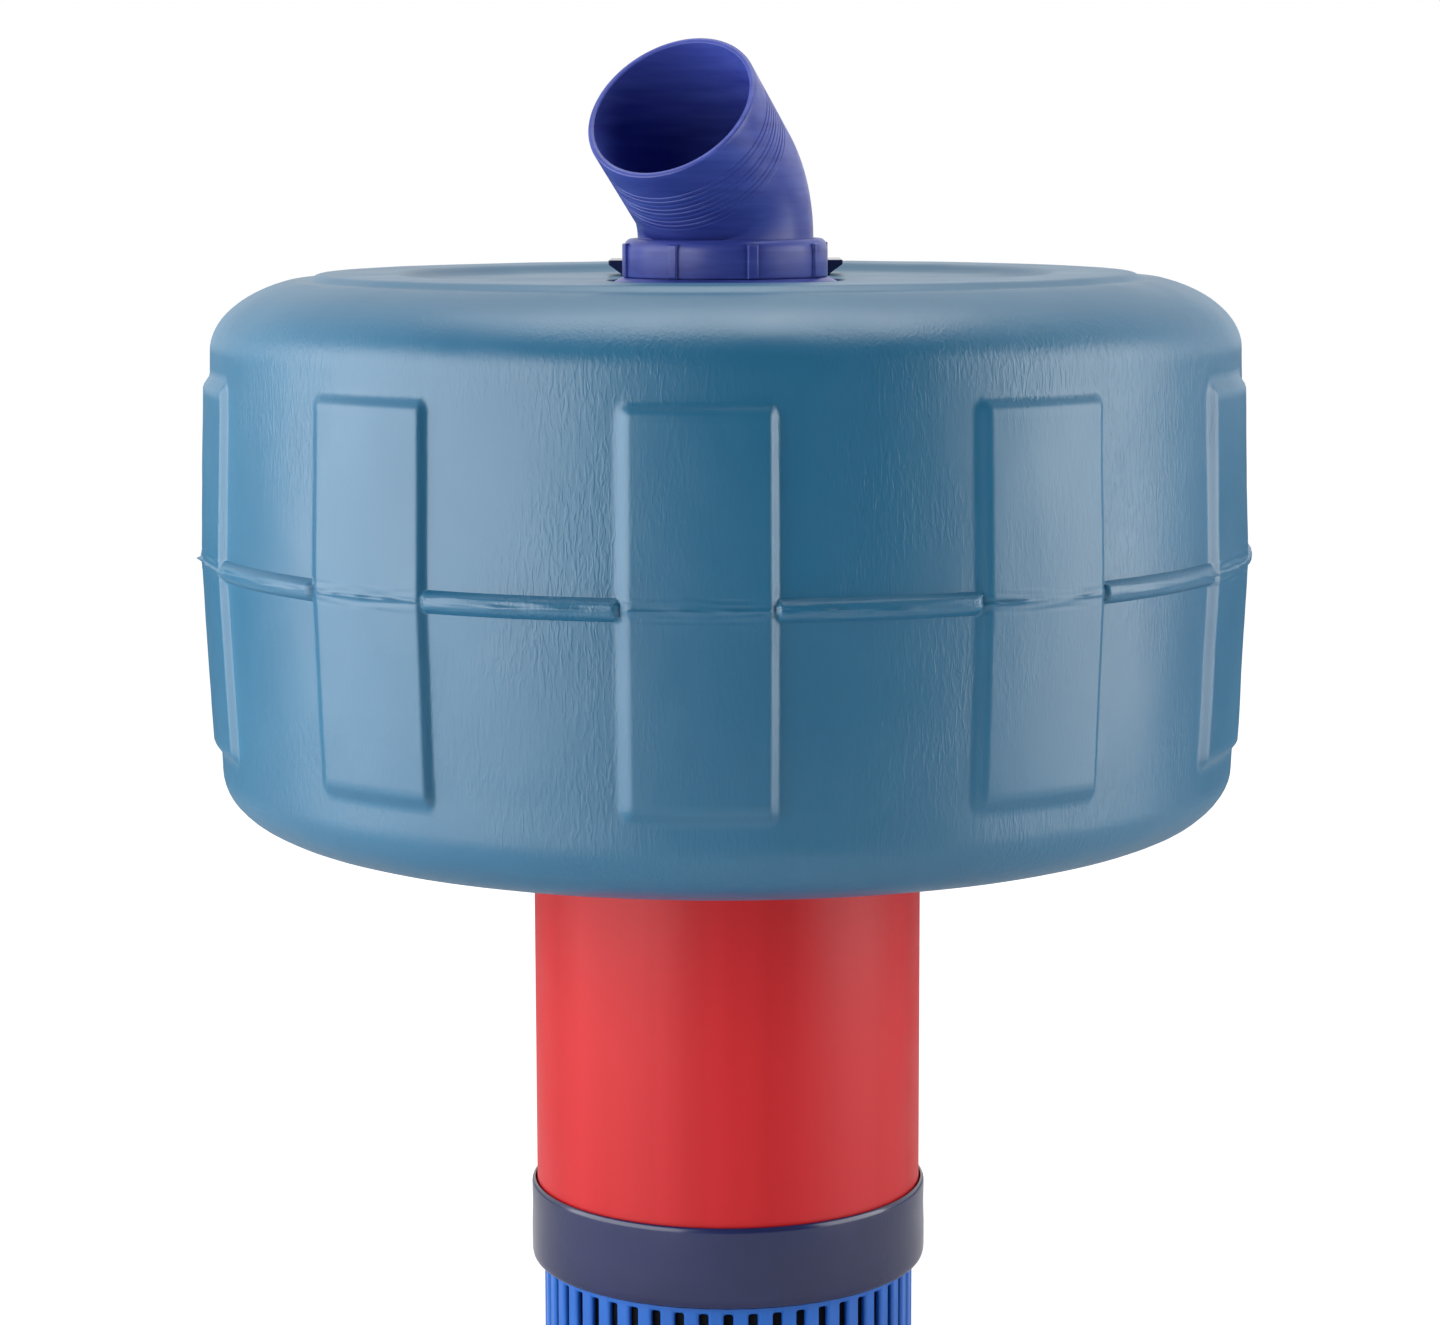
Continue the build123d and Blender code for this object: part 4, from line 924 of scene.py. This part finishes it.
def turned_on_y(outline, axis_z, steps):
    """Turn an outline of (radius, distance along Y, rounding) about the gland's axis."""
    bm = turned(outline, steps)
    flip = Matrix.Rotation(-math.pi / 2, 3, "X")
    bmesh.ops.rotate(bm, verts=bm.verts, cent=(0, 0, 0), matrix=flip)
    bmesh.ops.translate(bm, verts=bm.verts, vec=(0, 0, axis_z * MM))
    return bm


def build_entry_screws():
    """Pan heads, turned plain without a cross slot."""
    top = entry_box[0].z + 7.0
    bm = bmesh.new()
    for place in (-40.0, 40.0):
        outline = [(0.02, top), (5.0, top, 0.3), (5.0, top + 1.2, 0.8), (3.4, top + 2.4, 0.8), (0.02, top + 2.5)]
        part = turned(outline, 40)
        bmesh.ops.translate(part, verts=part.verts, vec=(place * MM, 72 * MM, 0))
        mesh = bpy.data.meshes.new("head")
        part.to_mesh(mesh)
        part.free()
        bm.from_mesh(mesh)
        bpy.data.meshes.remove(mesh)
    finished("entry_screw_heads", bm, "pump_body", "stainless", ["cable_entry_screws"])


build_entry()
build_gland()
build_entry_screws()


# Light, floor and background
def area_light(name, place, target, size, power, colour=(1, 1, 1)):
    data = bpy.data.lights.new(name, "AREA")
    data.shape = "RECTANGLE"
    data.size, data.size_y = size
    data.energy = power
    data.color = colour
    light = bpy.data.objects.new(name, data)
    light.location = place
    light.rotation_euler = (Vector(target) - Vector(place)).to_track_quat("-Z", "Y").to_euler()
    bpy.context.scene.collection.objects.link(light)


def set_world():
    """A white studio: full white behind the object, dimmer on the camera's side."""
    world = bpy.data.worlds.new("studio")
    bpy.context.scene.world = world
    world.use_nodes = True
    tree = world.node_tree
    coords = tree.nodes.new("ShaderNodeTexCoord")
    split = tree.nodes.new("ShaderNodeSeparateXYZ")
    tree.links.new(coords.outputs["Generated"], split.inputs["Vector"])

    def graded(low, high, start, stop):
        depth = tree.nodes.new("ShaderNodeMapRange")
        depth.interpolation_type = "SMOOTHSTEP"
        depth.inputs["From Min"].default_value = start
        depth.inputs["From Max"].default_value = stop
        depth.inputs["To Min"].default_value = low
        depth.inputs["To Max"].default_value = high
        tree.links.new(split.outputs["Y"], depth.inputs["Value"])
        return depth.outputs["Result"]

    def larger(one, other):
        node = tree.nodes.new("ShaderNodeMath")
        node.operation = "MAXIMUM"
        tree.links.new(one, node.inputs[0])
        tree.links.new(other, node.inputs[1])
        return node.outputs["Value"]

    soft = tree.nodes["Background"]
    tree.links.new(graded(WORLD_FRONT, WORLD_BACK, -0.9, 0.9), soft.inputs["Strength"])
    mirrored = tree.nodes.new("ShaderNodeBackground")
    mirrored.inputs["Color"].default_value = (1, 1, 1, 1)
    tree.links.new(graded(GLOSS_FRONT, 1.0, -0.3, 0.35), mirrored.inputs["Strength"])
    white = tree.nodes.new("ShaderNodeBackground")
    white.inputs["Strength"].default_value = 1.0
    white.inputs["Color"].default_value = (1, 1, 1, 1)
    path = tree.nodes.new("ShaderNodeLightPath")
    glossy = tree.nodes.new("ShaderNodeMixShader")
    seen = tree.nodes.new("ShaderNodeMixShader")
    output = tree.nodes["World Output"]
    tree.links.new(path.outputs["Is Glossy Ray"], glossy.inputs["Fac"])
    tree.links.new(soft.outputs["Background"], glossy.inputs[1])
    tree.links.new(mirrored.outputs["Background"], glossy.inputs[2])
    through = larger(path.outputs["Is Camera Ray"], path.outputs["Is Transmission Ray"])
    tree.links.new(through, seen.inputs["Fac"])
    tree.links.new(glossy.outputs["Shader"], seen.inputs[1])
    tree.links.new(white.outputs["Background"], seen.inputs[2])
    tree.links.new(seen.outputs["Shader"], output.inputs["Surface"])


def build_floor():
    """Pale floor that runs out to white, with the object's shadow kept near it."""
    bm = bmesh.new()
    bmesh.ops.create_circle(bm, segments=96, radius=14, cap_ends=True)
    mesh = bpy.data.meshes.new("studio_floor")
    bm.to_mesh(mesh)
    bm.free()
    material = bpy.data.materials.new("studio_floor")
    material.use_nodes = True
    tree = material.node_tree
    shader = tree.nodes["Principled BSDF"]
    shader.inputs["Base Color"].default_value = (0.85, 0.85, 0.85, 1)
    shader.inputs["Roughness"].default_value = 0.9
    shader.inputs["Specular IOR Level"].default_value = 0.1
    coords = tree.nodes.new("ShaderNodeTexCoord")
    reach = tree.nodes.new("ShaderNodeVectorMath")
    reach.operation = "LENGTH"
    tree.links.new(coords.outputs["Object"], reach.inputs[0])
    fade = tree.nodes.new("ShaderNodeMapRange")
    fade.interpolation_type = "SMOOTHSTEP"
    fade.inputs["From Min"].default_value = 0.25
    fade.inputs["From Max"].default_value = 1.6
    fade.inputs["To Min"].default_value = 0.6
    fade.inputs["To Max"].default_value = 1.0
    tree.links.new(reach.outputs["Value"], fade.inputs["Value"])
    glow = tree.nodes.new("ShaderNodeEmission")
    tree.links.new(fade.outputs["Result"], glow.inputs["Strength"])
    path = tree.nodes.new("ShaderNodeLightPath")
    both = tree.nodes.new("ShaderNodeAddShader")
    seen = tree.nodes.new("ShaderNodeMixShader")
    tree.links.new(shader.outputs["BSDF"], both.inputs[0])
    tree.links.new(glow.outputs["Emission"], both.inputs[1])
    tree.links.new(path.outputs["Is Camera Ray"], seen.inputs["Fac"])
    tree.links.new(shader.outputs["BSDF"], seen.inputs[1])
    tree.links.new(both.outputs["Shader"], seen.inputs[2])
    tree.links.new(seen.outputs["Shader"], tree.nodes["Material Output"].inputs["Surface"])
    mesh.materials.append(material)
    floor = bpy.data.objects.new("studio_floor", mesh)
    floor.location = (0, 0, -0.0005)
    bpy.context.scene.collection.objects.link(floor)


WORLD_FRONT = 0.18
WORLD_BACK = 0.42
GLOSS_FRONT = 0.10
area_light("left_panel", (-1.35, -0.66, 0.55), (0, 0, 0.42), (2.4, 1.5), 40)
area_light("right_panel", (1.46, -0.34, 0.55), (0, 0, 0.42), (1.27, 1.5), 21)
area_light("top_panel", (0, 0.1, 1.9), (0, 0, 0.5), (1.4, 1.0), 12)
set_world()
build_floor()

scene = bpy.context.scene
scene.view_settings.view_transform = "Standard"
